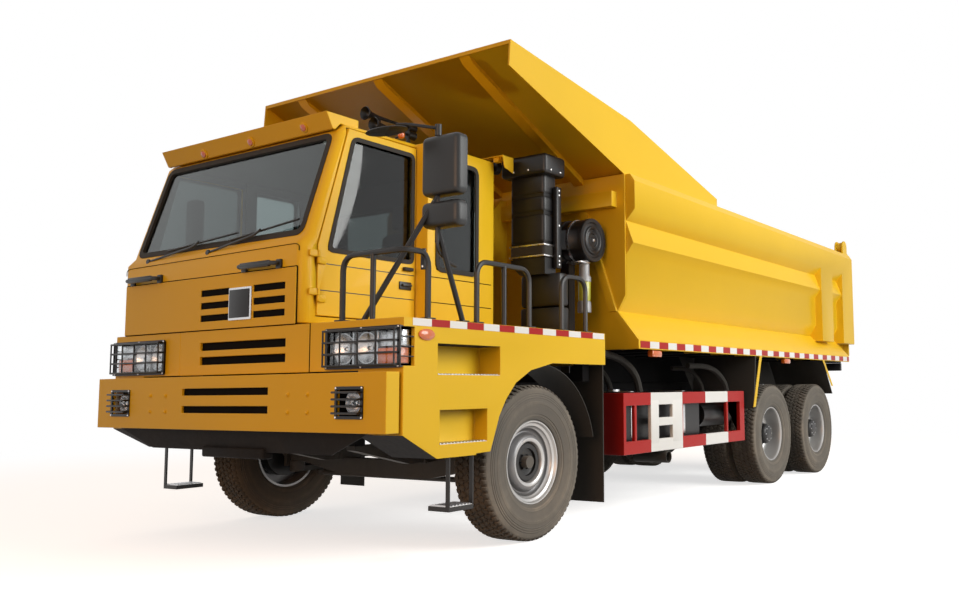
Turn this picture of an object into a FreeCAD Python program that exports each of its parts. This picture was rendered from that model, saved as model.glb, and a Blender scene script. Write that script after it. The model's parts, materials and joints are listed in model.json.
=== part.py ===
import FreeCAD, Part
import math
import os

Vector = FreeCAD.Vector

# Driving sizes in millimetres: x from the centre plane to the vehicle's left,
# y back from the bumper's face, z up from the ground
half_width = 1575.0
mirror_reach = 1700.0
front_axle_y = 1496.0
wheelbase = 4424.0
bogie_spacing = 1447.0
rear_overhang = 1783.0
tyre_radius = 562.5
tyre_width = 315.0
tyre_inset = 50.0
twin_spacing = 350.0
rim_radius = 303.0
rail_half_width = 430.0
rail_bottom_z = 830.0
rail_height = 320.0
deck_z = 1535.0
cab_front_y = 126.0
cab_rear_y = 1930.0
cab_left_x = 630.0
cab_right_inset = 65.0
cab_roof_z = 3010.0
bed_front_y = 2885.0
gate_reach = 235.0
bed_outer_inset = 38.0
bed_inner_inset = 230.0
bed_top_z = 2985.0
bed_skirt_z = 1430.0
canopy_tip_y = 1300.0
canopy_tip_z = 3693.0
pivot_setback = 683.0
pivot_lug_radius = 95.0
guard_proud = 42.0
guard_bar_radius = 7.0
upright_share = 0.8

# Clearances
seat_gap = 0.3
pin_gap = 0.5
panel_gap = 8.0
moving_gap = 8.0
overrun = 10.0

# Places that follow from the driving sizes
mid_axle_y = front_axle_y + wheelbase
rear_axle_y = mid_axle_y + bogie_spacing
rear_reach = rear_axle_y + rear_overhang
bed_rear_y = rear_reach - gate_reach
pivot_y = rear_axle_y + pivot_setback
tyre_face_x = half_width - tyre_inset
cab_right_x = cab_right_inset - half_width
bed_outer_x = half_width - bed_outer_inset
bed_inner_x = half_width - bed_inner_inset
bogie_y = (mid_axle_y + rear_axle_y) / 2
rail_top_z = rail_bottom_z + rail_height
wheel_z = tyre_radius
pivot_z = rail_top_z + pivot_lug_radius + moving_gap
middle_y = (rear_reach - guard_proud - guard_bar_radius) / 2

os.makedirs("parts", exist_ok=True)


def block(x0, x1, y0, y1, z0, z1):
    return Part.makeBox(x1 - x0, y1 - y0, z1 - z0, Vector(x0, y0, z0))


def face_of(points):
    return Part.Face(Part.makePolygon(points + points[:1]))


def prism_x(outline, x0, x1):
    return face_of([Vector(x0, y, z) for y, z in outline]).extrude(Vector(x1 - x0, 0, 0))


def prism_y(outline, y0, y1):
    return face_of([Vector(x, y0, z) for x, z in outline]).extrude(Vector(0, y1 - y0, 0))


def prism_z(outline, z0, z1):
    return face_of([Vector(x, y, z0) for x, y in outline]).extrude(Vector(0, 0, z1 - z0))


def turned_x(outline, y, z):
    """A section of (x, radius) points turned about a line along x."""
    section = face_of([Vector(x, y, z + radius) for x, radius in outline])
    return section.revolve(Vector(0, y, z), Vector(1, 0, 0), 360)


def cylinder_x(x0, x1, y, z, radius):
    return Part.makeCylinder(radius, x1 - x0, Vector(x0, y, z), Vector(1, 0, 0))


def cylinder_z(x, y, z0, z1, radius):
    return Part.makeCylinder(radius, z1 - z0, Vector(x, y, z0), Vector(0, 0, 1))


def rod(start, end, radius):
    start = Vector(*start)
    line = Vector(*end) - start
    return Part.makeCylinder(radius, line.Length, start, line)


def join(pieces):
    if len(pieces) == 1:
        return pieces[0]
    return pieces[0].multiFuse(pieces[1:]).removeSplitter()


def pipe(points, radius):
    runs = [rod(a, b, radius) for a, b in zip(points, points[1:])]
    bends = [Part.makeSphere(radius, Vector(*p)) for p in points[1:-1]]
    return join(runs + bends)


def mirrored(shape):
    return shape.mirror(Vector(0, 0, 0), Vector(1, 0, 0))


def both_sides(shape):
    return [shape, mirrored(shape)]


def rounded(shape, radius, chosen):
    """Fillets the edges that the test picks."""
    return shape.makeFillet(radius, [edge for edge in shape.Edges if chosen(edge)])


def is_upright(edge):
    a, b = edge.Vertexes[0].Point, edge.Vertexes[-1].Point
    return abs(a.z - b.z) > 2 * math.hypot(a.x - b.x, a.y - b.y)


def write(name, pieces):
    shape = Part.makeCompound(pieces) if len(pieces) > 1 else pieces[0]
    shape = shape.copy()
    shape.translate(Vector(0, -middle_y, 0))
    shape.exportStep("parts/" + name + ".step")


# Chassis frame: two channel rails, cross members, outriggers and pivot brackets
rail_front_y = 230.0
rail_tail = 110.0
rail_rear_y = pivot_y + rail_tail
rail_wall = 16.0
rail_flange = 110.0
cross_depth = 120.0
cross_height = 200.0
outrigger_inset = 135.0
outrigger_reach = half_width - outrigger_inset
riser_width = 90.0
outrigger_depth = 90.0
outrigger_height = 70.0
outrigger_front_y = 560.0
outrigger_rear_y = 2205.0
pivot_pin_radius = 38.0
pivot_lug_wall = 25.0
hoist_base_y = 2330.0
hoist_base_z = 930.0
hoist_outer_radius = 150.0
hoist_eye_y = 2400.0
hoist_eye_z = 2350.0
hoist_eye_half = 75.0
hoist_cheek = 30.0
hoist_cheek_radius = 65.0
hoist_pin_radius = 32.0
bumper_depth = 106.0
tow_lug_wall = 30.0
tow_lug_length = 130.0
tow_lug_width = 130.0
tow_lug_drop = 110.0
tow_bore_radius = 26.0
tow_jaw_half_width = 75.0
tow_jaw_length = 190.0
tow_jaw_height = 90.0


def rail():
    x1 = rail_half_width
    x0 = x1 - rail_flange
    web = x1 - rail_wall
    low = rail_bottom_z
    high = rail_top_z
    outline = [
        (x0, low), (x1, low), (x1, high), (x0, high), (x0, high - rail_wall),
        (web, high - rail_wall), (web, low + rail_wall), (x0, low + rail_wall)]
    return prism_y(outline, rail_front_y, rail_rear_y)


def cross_member(y):
    reach = rail_half_width - rail_wall
    middle = (rail_bottom_z + rail_top_z) / 2
    half = cross_height / 2
    return block(-reach, reach, y - cross_depth / 2, y + cross_depth / 2, middle - half, middle + half)


def outrigger(y, reach):
    """An arm on the rail that runs out to the reach, with a riser to the cab's floor over the rail."""
    inner = rail_half_width - riser_width
    high = rail_top_z + outrigger_height
    bar = block(inner, reach, y, y + outrigger_depth, rail_top_z, high)
    riser = block(inner, rail_half_width, y, y + outrigger_depth, high, cab_floor_z - seat_gap)
    return join([bar, riser])


def deck_riser(y):
    """It holds the fender's deck up from the outrigger's end."""
    return block(outrigger_reach - riser_width, outrigger_reach, y, y + outrigger_depth,
                 rail_top_z + outrigger_height, deck_z - fender_top_wall - seat_gap)


def pivot_bracket():
    """Two lugs on the rail's top, one each side of the bed's eye, and the pin through them."""
    inner = rail_half_width - rail_flange
    pieces = []
    for x in (inner, rail_half_width - pivot_lug_wall):
        pieces.append(cylinder_x(x, x + pivot_lug_wall, pivot_y, pivot_z, pivot_lug_radius))
        pieces.append(block(x, x + pivot_lug_wall, pivot_y - pivot_lug_radius, pivot_y + pivot_lug_radius,
                            rail_top_z, pivot_z))
    pieces.append(cylinder_x(inner, rail_half_width, pivot_y, pivot_z, pivot_pin_radius))
    return pieces


def tow_lug():
    """An angle under the rail's front end, whose flat foot has an upright bore for a tow pin."""
    x0 = rail_half_width - tow_lug_wall
    inner = rail_half_width - tow_lug_width
    rear = rail_front_y + tow_lug_length
    low = rail_bottom_z - tow_lug_drop
    high = low + tow_lug_wall
    web = block(x0, rail_half_width, rail_front_y, rear, low, rail_bottom_z + rail_wall)
    foot = block(inner, rail_half_width, rail_front_y, rear, low, high)
    hole = cylinder_z((inner + x0) / 2, (rail_front_y + rear) / 2, low - overrun, high + overrun, tow_bore_radius)
    return join([web, foot]).cut(hole)


def tow_jaw():
    """A block behind the last cross member with an upright bore for a tow pin."""
    front = rail_rear_y - cross_depth / 2
    low = (rail_bottom_z + rail_top_z) / 2 - tow_jaw_height / 2
    body = block(-tow_jaw_half_width, tow_jaw_half_width, front, front + tow_jaw_length, low, low + tow_jaw_height)
    hole = cylinder_z(0, front + tow_jaw_length - tow_jaw_half_width, low - overrun, low + tow_jaw_height + overrun,
                      tow_bore_radius)
    return body.cut(hole)


def spring_hanger(y):
    return block(rail_half_width, rail_half_width + spring_width, y, y + hanger_length, spring_eye_z,
                 rail_top_z - rail_wall)


def frame():
    ys = [rail_front_y + cross_depth, hoist_base_y + 2 * hoist_outer_radius + cross_depth, bogie_y - bogie_spacing,
          bogie_y,
          rail_rear_y - cross_depth]
    side = [rail(), spring_hanger(front_axle_y - spring_half_length),
            spring_hanger(front_axle_y + spring_half_length - hanger_length), deck_riser(outrigger_rear_y),
            outrigger(outrigger_front_y, box_inner_x - seat_gap), outrigger(outrigger_rear_y, outrigger_reach)]
    side += pivot_bracket() + [trunnion(), tow_lug()]
    return join([cross_member(y) for y in ys] + both_sides(join(side)) + [tow_jaw()])


# Front axle, its springs, knuckles and steering
kingpin_inset = 405.0
kingpin_x = tyre_face_x - kingpin_inset
kingpin_radius = 28.0
axle_depth = 110.0
axle_height = 130.0
axle_drop = 90.0
spring_width = 90.0
spring_half_length = 800.0
spring_thickness = 95.0
spring_eye_z = 700.0
hanger_length = 90.0
fork_gap = 170.0
knuckle_radius = 62.0
steering_arm_length = 260.0
steering_arm_width = 60.0
steering_arm_height = 45.0
steering_arm_drop = 150.0
tie_rod_radius = 22.0
drum_radius = 205.0
drum_width = 150.0


def front_axle():
    z = wheel_z
    end = kingpin_x
    seat = rail_half_width + spring_width
    low = z - axle_drop
    half = axle_height / 2
    outline = [
        (end, z - half), (end, z + half), (end - axle_height, z + half), (seat, low + half), (-seat, low + half),
        (axle_height - end, z + half), (-end, z + half), (-end, z - half), (axle_height - end, z - half),
        (-seat, low - half), (seat, low - half), (end - axle_height, z - half)]
    beam = prism_y(outline, front_axle_y - axle_depth / 2, front_axle_y + axle_depth / 2)
    boss = cylinder_z(end, front_axle_y, z - half, z + half, axle_depth / 2)
    bore = cylinder_z(end, front_axle_y, z - axle_height, z + axle_height, kingpin_radius + pin_gap)
    return join([beam, boss, mirrored(boss)]).cut(bore).cut(mirrored(bore))


def leaf_pack(centre_y, half_length, seat_z, eye_z, x0, x1):
    """A pack of leaves: the seat is at the middle and the eyes are at the ends."""
    thick = spring_thickness
    leaf = thick / 3
    outline = [
        (centre_y - half_length, eye_z), (centre_y - half_length, eye_z + leaf),
        (centre_y - half_length / 3, seat_z + thick), (centre_y + half_length / 3, seat_z + thick),
        (centre_y + half_length, eye_z + leaf), (centre_y + half_length, eye_z),
        (centre_y + half_length / 3, seat_z), (centre_y - half_length / 3, seat_z)]
    return prism_x(outline, x0, x1)


def front_spring():
    top_of_axle = wheel_z - axle_drop + axle_height / 2
    return leaf_pack(front_axle_y, spring_half_length, top_of_axle, spring_eye_z - spring_thickness / 3,
                     rail_half_width, rail_half_width + spring_width)


def knuckle():
    """A fork about the axle's end on the kingpin, with the stub, the brake drum and the steering arm."""
    z = wheel_z
    half = axle_height / 2 + moving_gap / 2
    cheek = (fork_gap - axle_height) / 2 + kingpin_radius
    top = cylinder_z(kingpin_x, front_axle_y, z + half, z + half + cheek, knuckle_radius)
    low = cylinder_z(kingpin_x, front_axle_y, z - half - cheek, z - half, knuckle_radius)
    pin = cylinder_z(kingpin_x, front_axle_y, z - half - cheek, z + half + cheek, kingpin_radius)
    web_x = kingpin_x + axle_depth / 2 + moving_gap
    web = block(web_x, web_x + axle_depth / 3, front_axle_y - knuckle_radius, front_axle_y + knuckle_radius,
                z - half - cheek, z + half + cheek)
    links = [block(kingpin_x, web_x, front_axle_y - knuckle_radius / 2, front_axle_y + knuckle_radius / 2, a, b)
             for a, b in ((z + half, z + half + cheek), (z - half - cheek, z - half))]
    stub = cylinder_x(web_x, wheel_centre_x + hub_half_length, front_axle_y, z, stub_radius)
    arm_top = z - half - cheek
    arm = block(kingpin_x - steering_arm_width / 2, kingpin_x + steering_arm_width / 2,
                front_axle_y, front_axle_y + steering_arm_length, arm_top - steering_arm_height, arm_top)
    ball = cylinder_z(kingpin_x, front_axle_y + steering_arm_length, arm_top - steering_arm_drop / 2, arm_top,
                      tie_rod_radius)
    collar = cylinder_z(kingpin_x, front_axle_y, arm_top - steering_arm_height, arm_top, knuckle_radius)
    return join([top, low, pin, web, stub, arm, ball, collar] + links)


def tie_rod():
    arm_low = wheel_z - axle_height / 2 - moving_gap / 2 - (fork_gap - axle_height) / 2 - kingpin_radius
    z = arm_low - steering_arm_height - moving_gap - tie_rod_radius
    y = front_axle_y + steering_arm_length
    bar = cylinder_x(-kingpin_x, kingpin_x, y, z, tie_rod_radius)
    eye = cylinder_z(kingpin_x, y, z - tie_rod_radius, z + tie_rod_radius, 2 * tie_rod_radius)
    hole = cylinder_z(kingpin_x, y, z - steering_arm_drop, z + steering_arm_drop, tie_rod_radius + pin_gap)
    return join([bar, eye, mirrored(eye)]).cut(hole).cut(mirrored(hole))


# Wheels: tyres, rims and hubs, the driven ones in pairs
rim_half_width = 120.0
rim_wall = 18.0
disc_wall = 28.0
front_disc_depth = 70.0
twin_disc_depth = 205.0
hub_radius = 150.0
hub_cap_radius = 92.0
hub_half_length = 95.0
hub_cap_length = 70.0
stub_radius = 45.0
tread_edge_share = 0.80
crown_share = 0.955
wheel_centre_x = tyre_face_x - tyre_width / 2


def tyre(x, y):
    """A plain tyre on its rim's barrel, with straight walls bowed out at their middle."""
    half = tyre_width / 2
    belly = (rim_radius + tyre_radius) / 2
    shoulder = tyre_radius * crown_share
    outline = [
        (x - rim_half_width, rim_radius), (x - half, belly), (x - half * (1 + tread_edge_share) / 2, shoulder),
        (x - half * tread_edge_share, tyre_radius), (x + half * tread_edge_share, tyre_radius),
        (x + half * (1 + tread_edge_share) / 2, shoulder), (x + half, belly), (x + rim_half_width, rim_radius)]
    return turned_x(outline, y, wheel_z)


def barrel(x, y):
    outer = cylinder_x(x - rim_half_width, x + rim_half_width, y, wheel_z, rim_radius)
    inner = cylinder_x(x - tyre_width, x + tyre_width, y, wheel_z, rim_radius - rim_wall)
    return outer.cut(inner)


def front_rim(y):
    x = wheel_centre_x
    face = x + rim_half_width - front_disc_depth
    disc = cylinder_x(face - disc_wall, face, y, wheel_z, rim_radius - rim_wall / 2)
    hub = cylinder_x(x - hub_half_length, face + disc_wall, y, wheel_z, hub_radius)
    cap = cylinder_x(face, face + hub_cap_length, y, wheel_z, hub_cap_radius)
    drum = cylinder_x(x - rim_half_width, face - disc_wall, y, wheel_z, drum_radius)
    bore = cylinder_x(x - tyre_width, x + hub_half_length + seat_gap, y, wheel_z, stub_radius + pin_gap)
    return join([barrel(x, y), disc, hub, cap, drum]).cut(bore)


def twin_rim(y):
    outer = wheel_centre_x
    inner = outer - twin_spacing
    face = outer + rim_half_width - twin_disc_depth
    disc = cylinder_x(face - 2 * disc_wall, face, y, wheel_z, rim_radius - rim_wall / 2)
    hub = cylinder_x(face - disc_wall, face + hub_cap_length, y, wheel_z, hub_radius)
    cap = cylinder_x(face, face + twin_disc_depth - disc_wall, y, wheel_z, hub_cap_radius)
    drum = cylinder_x(inner - rim_half_width / 2, face - disc_wall, y, wheel_z, drum_radius)
    spacer = cylinder_x(inner + rim_half_width, outer - rim_half_width, y, wheel_z, rim_radius)
    hollow = cylinder_x(inner, outer, y, wheel_z, rim_radius - rim_wall)
    bore = cylinder_x(inner - tyre_width, face - disc_wall, y, wheel_z, spindle_radius + pin_gap)
    return join([barrel(outer, y), barrel(inner, y), spacer.cut(hollow), disc, hub, cap, drum]).cut(bore)


# Driven axles, the bogie's springs and the drive line
axle_tube_radius = 95.0
spindle_radius = 60.0
diff_radius = 255.0
diff_half_width = 150.0
diff_nose_length = 330.0
diff_nose_radius = 130.0
trunnion_radius = 85.0
axle_pad_height = 10.0
bogie_spring_thickness = 150.0
bogie_spring_width = 100.0
engine_half_width = 300.0
engine_front_y = 520.0
engine_rear_y = 1780.0
engine_bottom_z = 760.0
engine_top_z = 1470.0
gearbox_length = 350.0
gearbox_radius = 230.0
shaft_radius = 62.0
shaft_z = 690.0


def driven_axle(y):
    tube_end = wheel_centre_x - twin_spacing - rim_half_width / 2 - moving_gap
    spindle_end = wheel_centre_x + rim_half_width - twin_disc_depth - disc_wall - seat_gap
    tube = cylinder_x(-tube_end, tube_end, y, wheel_z, axle_tube_radius)
    spindle = cylinder_x(-spindle_end, spindle_end, y, wheel_z, spindle_radius)
    bowl = cylinder_x(-diff_half_width, diff_half_width, y, wheel_z, diff_radius)
    nose = Part.makeCylinder(diff_nose_radius, diff_nose_length, Vector(0, y - diff_nose_length, wheel_z),
                             Vector(0, 1, 0))
    pad = block(rail_half_width, rail_half_width + bogie_spring_width, y - axle_tube_radius, y + axle_tube_radius,
                wheel_z, wheel_z + axle_tube_radius + axle_pad_height)
    return join([tube, spindle, bowl, nose] + both_sides(pad))


def bogie_springs():
    """An upside-down pack on each side rides on the trunnion and bears on both axles."""
    x0 = rail_half_width
    x1 = x0 + bogie_spring_width
    pad_top = wheel_z + axle_tube_radius + axle_pad_height
    reach = bogie_spacing / 2 + axle_tube_radius
    high = pad_top + bogie_spring_thickness
    outline = [
        (bogie_y - reach, pad_top), (bogie_y + reach, pad_top), (bogie_y + reach, pad_top + rail_wall),
        (bogie_y + reach / 3, high), (bogie_y - reach / 3, high), (bogie_y - reach, pad_top + rail_wall)]
    return both_sides(prism_x(outline, x0, x1))


def trunnion():
    """A saddle under the rail with the seat on which the upside-down spring rocks."""
    reach = 2 * trunnion_radius
    saddle = block(rail_half_width - rail_flange, rail_half_width, bogie_y - reach, bogie_y + reach,
                   wheel_z - trunnion_radius, rail_bottom_z)
    hub = cylinder_x(rail_half_width, rail_half_width + bogie_spring_width, bogie_y, wheel_z, trunnion_radius)
    seat = block(rail_half_width, rail_half_width + bogie_spring_width, bogie_y - trunnion_radius,
                 bogie_y + trunnion_radius, wheel_z, wheel_z + axle_tube_radius + axle_pad_height)
    return join([saddle, hub, seat])


def drive_line():
    box = Part.makeCylinder(gearbox_radius, gearbox_length, Vector(0, engine_rear_y, shaft_z + gearbox_radius / 2),
                            Vector(0, 1, 0))
    shaft = rod((0, engine_rear_y + gearbox_length, shaft_z), (0, mid_axle_y - diff_nose_length, wheel_z),
                shaft_radius)
    middle = rod((0, mid_axle_y + diff_radius, wheel_z), (0, rear_axle_y - diff_nose_length, wheel_z), shaft_radius)
    return [join([box, shaft.cut(driven_axle(mid_axle_y))]), middle.cut(driven_axle(rear_axle_y))]


def engine():
    return block(-engine_half_width, engine_half_width, engine_front_y, engine_rear_y, engine_bottom_z, engine_top_z)


# Cab: a hollow shell with a wider rear part on its left side
cab_wall = 55.0
cab_floor_lift = 12.0
cab_floor_z = deck_z + cab_floor_lift
cab_floor_wall = 70.0
cab_belt_z = 2085.0
cab_sill_z = 1600.0
windshield_low_y = 185.0
windshield_low_z = 2150.0
windshield_high_y = 430.0
windshield_high_z = 2915.0
roof_front_y = 500.0
roof_front_z = 2985.0
cab_corner_radius = 70.0
bulge_x = 740.0
bulge_front_y = 1165.0
screen_inset = 45.0
window_inset = 55.0
glass_wall = 8.0
door_front_y = 250.0
door_rear_y = 1150.0
door_top_z = 2945.0
door_sash = 62.0
rear_window_front_y = 1265.0
rear_window_rear_y = 1720.0
rear_window_low_z = 2010.0
rear_window_high_z = 2880.0
back_window_half_width = 620.0
back_window_low_z = 2180.0
back_window_high_z = 2720.0
cab_middle_x = (cab_left_x + cab_right_x) / 2
door_axis_x = cab_left_x + 15.0
door_axis_y = door_front_y - panel_gap / 2
door_hinge_zs = (1690.0, 1950.0)
hinge_leaf_height = 45.0
hinge_leaf_length = 60.0
hinge_leaf_wall = 8.0
hinge_knuckle_radius = 11.0
hinge_bolt_radius = 5.0


def lean_y(z):
    """How far back the raked windshield plane lies at a height."""
    rake = (windshield_high_y - windshield_low_y) / (windshield_high_z - windshield_low_z)
    return windshield_low_y + rake * (z - windshield_low_z)


def cab_outline(inset):
    return [
        (cab_front_y + inset, cab_floor_z + inset), (cab_front_y + inset, cab_belt_z),
        (windshield_low_y + inset, windshield_low_z), (windshield_high_y + inset, windshield_high_z),
        (roof_front_y + inset, roof_front_z - inset), (cab_rear_y - inset, cab_roof_z - inset),
        (cab_rear_y - inset, cab_floor_z + inset)]


def door_outline(margin):
    """The door's edge as seen from its side, larger by the margin all round."""
    low = cab_sill_z - margin
    high = door_top_z + margin
    slope_foot = cab_belt_z
    return [
        (door_front_y - margin, low), (door_front_y - margin, slope_foot),
        (lean_y(high) + window_inset - margin, high), (door_rear_y + margin, high), (door_rear_y + margin, low)]


def door_window_outline(margin):
    low = cab_belt_z - door_sash / 2 - margin
    high = door_top_z - door_sash + margin
    return [
        (lean_y(low) + window_inset + 2 * door_sash - margin, low),
        (lean_y(high) + window_inset + door_sash - margin, high),
        (door_rear_y - door_sash / 2 + margin, high), (door_rear_y - door_sash / 2 + margin, low)]


def side_window_outline(margin):
    return [
        (rear_window_front_y - margin, rear_window_low_z - margin),
        (rear_window_front_y - margin, rear_window_high_z + margin),
        (rear_window_rear_y + margin, rear_window_high_z + margin),
        (rear_window_rear_y + margin, rear_window_low_z - margin)]


def windshield(margin, wall):
    """A slab that lies in the raked plane, as wide as the screen's opening and its margin."""
    low = windshield_low_z + screen_inset - margin
    high = windshield_high_z - screen_inset + margin
    outline = [(lean_y(low), low), (lean_y(high), high), (lean_y(high) + wall, high), (lean_y(low) + wall, low)]
    x0 = cab_right_x + screen_inset + window_inset - margin
    x1 = cab_left_x - screen_inset - window_inset + margin
    return prism_x(outline, x0, x1)


def is_cab_flank_edge(edge):
    """The cab's front corners and its roof's side edges."""
    a, b = edge.Vertexes[0].Point, edge.Vertexes[-1].Point
    runs_back = a.x == b.x and max(a.z, b.z) >= cab_belt_z
    return runs_back and min(a.y, b.y) < roof_front_y + overrun


def cab_shell():
    body = prism_x(cab_outline(0), cab_right_x, cab_left_x)
    body = rounded(body, cab_corner_radius, is_cab_flank_edge)
    bulge = block(cab_left_x - cab_wall, bulge_x, bulge_front_y, cab_rear_y, cab_sill_z, roof_front_z)
    hollow = prism_x(cab_outline(cab_wall), cab_right_x + cab_wall, cab_left_x - cab_wall)
    bulge_hollow = block(cab_left_x - 2 * cab_wall, bulge_x - cab_wall, bulge_front_y + cab_wall,
                         cab_rear_y - cab_wall, cab_sill_z + cab_wall, roof_front_z - cab_wall)
    shell = body.fuse(bulge).cut(hollow).cut(bulge_hollow)
    screen = windshield(0, cab_wall * 3)
    screen.translate(Vector(0, -cab_wall, 0))
    shell = shell.cut(screen)
    shell = shell.cut(prism_x(door_outline(panel_gap), cab_right_x - overrun, cab_right_x + cab_wall + overrun))
    shell = shell.cut(prism_x(door_outline(panel_gap), cab_left_x - cab_wall - overrun, cab_left_x + overrun))
    shell = shell.cut(prism_x(side_window_outline(0), cab_right_x - overrun, bulge_x + overrun))
    shell = shell.cut(block(cab_middle_x - back_window_half_width, cab_middle_x + back_window_half_width,
                            cab_rear_y - cab_wall - overrun, cab_rear_y + overrun,
                            back_window_low_z, back_window_high_z))
    hinges = [door_hinge(z, False) for z in door_hinge_zs]
    return join([shell] + hinges + [across_cab(one) for one in hinges])


def across_cab(shape):
    return shape.mirror(Vector(cab_middle_x, 0, 0), Vector(1, 0, 0))


def door_hinge(z, on_door):
    """Half of a hinge on the cab's skin: its leaf and its knuckle, and the pin with the door's half."""
    low = z if on_door else z + hinge_leaf_height + seat_gap
    high = low + hinge_leaf_height
    near = door_front_y if on_door else door_front_y - 2 * panel_gap - hinge_leaf_length
    leaf = block(cab_left_x, door_axis_x, near, near + hinge_leaf_length, low, high)
    arm = block(door_axis_x - hinge_leaf_wall, door_axis_x, min(near, door_axis_y),
                max(near + hinge_leaf_length, door_axis_y), low, high)
    knuckle = cylinder_z(door_axis_x, door_axis_y, low, high, hinge_knuckle_radius)
    pieces = [leaf, arm, knuckle]
    if on_door:
        pieces.append(cylinder_z(door_axis_x, door_axis_y, low, high + hinge_leaf_height, hinge_bolt_radius))
        return join(pieces)
    bore = cylinder_z(door_axis_x, door_axis_y, low - overrun, high + overrun, hinge_bolt_radius + pin_gap)
    return join(pieces).cut(bore)


def door(x0, x1):
    panel = prism_x(door_outline(0), x0, x1)
    panel = panel.cut(prism_x(door_window_outline(0), x0 - overrun, x1 + overrun))
    return join([panel] + [door_hinge(z, True) for z in door_hinge_zs])


def cab_glass():
    left = prism_x(side_window_outline(-seat_gap), bulge_x - cab_wall / 2, bulge_x - cab_wall / 2 + glass_wall)
    right = prism_x(side_window_outline(-seat_gap), cab_right_x + cab_wall / 2,
                    cab_right_x + cab_wall / 2 + glass_wall)
    reach = back_window_half_width - seat_gap
    back = block(cab_middle_x - reach, cab_middle_x + reach, cab_rear_y - cab_wall / 2,
                 cab_rear_y - cab_wall / 2 + glass_wall, back_window_low_z + seat_gap, back_window_high_z - seat_gap)
    return [left, right, back]


def screen_glass():
    glass = windshield(-seat_gap, glass_wall)
    glass.translate(Vector(0, cab_wall / 4, 0))
    return glass


# Cab fittings: dashboard, steering wheel, seats, visor
dash_depth = 420.0
dash_low_z = 1750.0
dash_high_z = 2060.0
seat_offset = 520.0
driver_x = cab_middle_x - seat_offset
mate_x = cab_middle_x + seat_offset
seat_width = 480.0
seat_depth = 460.0
seat_low_z = 1690.0
seat_high_z = 1990.0
seat_front_y = 1060.0
seat_back_wall = 150.0
seat_back_top_z = 2640.0
steering_wheel_radius = 225.0
steering_grip_radius = 18.0
steering_wheel_y = 760.0
steering_wheel_z = 2170.0
column_radius = 32.0
visor_front_y = 350.0
visor_half_width = 1000.0
visor_low_z = 2935.0
visor_high_z = 3050.0
visor_wall = 22.0
visor_lean = 60.0
visor_foot_length = 140.0


def dashboard():
    front = cab_front_y + cab_wall + seat_gap
    outline = [
        (front, dash_low_z), (front, dash_high_z), (front + dash_depth * 0.6, dash_high_z),
        (front + dash_depth, dash_high_z - cab_wall), (front + dash_depth, dash_low_z)]
    return prism_x(outline, cab_right_x + cab_wall + seat_gap, cab_left_x - cab_wall - seat_gap)


def steering_wheel():
    tilt = Vector(0, -1, 1.2)
    centre = Vector(driver_x, steering_wheel_y, steering_wheel_z)
    ring = Part.makeTorus(steering_wheel_radius, steering_grip_radius, centre, tilt)
    foot = Vector(driver_x, cab_front_y + cab_wall + dash_depth, dash_high_z - cab_wall)
    column = rod(tuple(foot), tuple(centre), column_radius)
    spokes = [rod((driver_x - steering_wheel_radius, steering_wheel_y, steering_wheel_z),
                  (driver_x + steering_wheel_radius, steering_wheel_y, steering_wheel_z), steering_grip_radius)]
    return join([ring, column] + spokes)


def seat(x):
    x0 = x - seat_width / 2
    x1 = x + seat_width / 2
    y1 = seat_front_y + seat_depth
    pad = block(x0, x1, seat_front_y, y1, seat_low_z + (seat_high_z - seat_low_z) / 2, seat_high_z)
    back = block(x0, x1, y1, y1 + seat_back_wall, seat_high_z - seat_back_wall, seat_back_top_z)
    base = block(x0 + seat_back_wall / 2, x1 - seat_back_wall / 2, seat_front_y + seat_back_wall / 2,
                 y1, cab_floor_z + cab_wall, seat_low_z + (seat_high_z - seat_low_z) / 2)
    return join([pad, back, base])


def roof_z(y):
    return roof_front_z + (cab_roof_z - roof_front_z) * (y - roof_front_y) / (cab_rear_y - roof_front_y)


def visor():
    """A leaning lip and a flat top between two cheeks, held by a flange on the roof."""
    rear = roof_front_y + visor_foot_length
    low_y = visor_front_y + visor_lean
    outline = [
        (low_y, visor_low_z), (low_y + visor_wall, visor_low_z),
        (visor_front_y + visor_wall, visor_high_z - visor_wall), (rear - visor_wall, visor_high_z - visor_wall),
        (rear - visor_wall, roof_z(rear) + seat_gap), (rear, roof_z(rear) + seat_gap), (rear, visor_high_z),
        (visor_front_y, visor_high_z)]
    cheek = [
        (visor_front_y, visor_high_z), (low_y, visor_low_z), (low_y + visor_wall, visor_low_z),
        (roof_front_y - visor_wall, roof_front_z + seat_gap), (rear, roof_z(rear) + seat_gap), (rear, visor_high_z)]
    x0 = cab_middle_x - visor_half_width
    x1 = cab_middle_x + visor_half_width
    return join([prism_x(outline, x0, x1), prism_x(cheek, x0, x0 + visor_wall), prism_x(cheek, x1 - visor_wall, x1)])


# Front: bumper, apron, fender boxes, lamps and steps
bumper_inset = 9.0
bumper_half_width = half_width - bumper_inset
bumper_low_z = 835.0
bumper_high_z = 1204.0
bumper_wall = 22.0
slot_half_length = 474.0
slot_height = 48.0
slot_low_z = 950.0
slot_high_z = 1072.0
apron_low_z = 1215.0
apron_half_width = 720.0
apron_slot_low_z = 1289.0
apron_slot_pitch = 102.0
apron_slot_height = 56.0
fender_top_wall = 40.0
fender_rear_y = 2337.0
fender_rear_low_z = 1280.0
fender_skirt = 32.0
box_width = 395.0
box_inner_x = half_width - box_width
box_rear_y = 785.0
box_low_z = 663.0
box_chin_z = 820.0
box_chin_y = 417.0
upper_recess_depth = 190.0
lower_recess_depth = 113.0
upper_recess_x = half_width - upper_recess_depth
lower_recess_x = half_width - lower_recess_depth
step_wall = 12.0
upper_recess = (420.0, 1023.0, 1187.0, 1383.0)
lower_recess = (442.0, 891.0, 750.0, 965.0)
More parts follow.
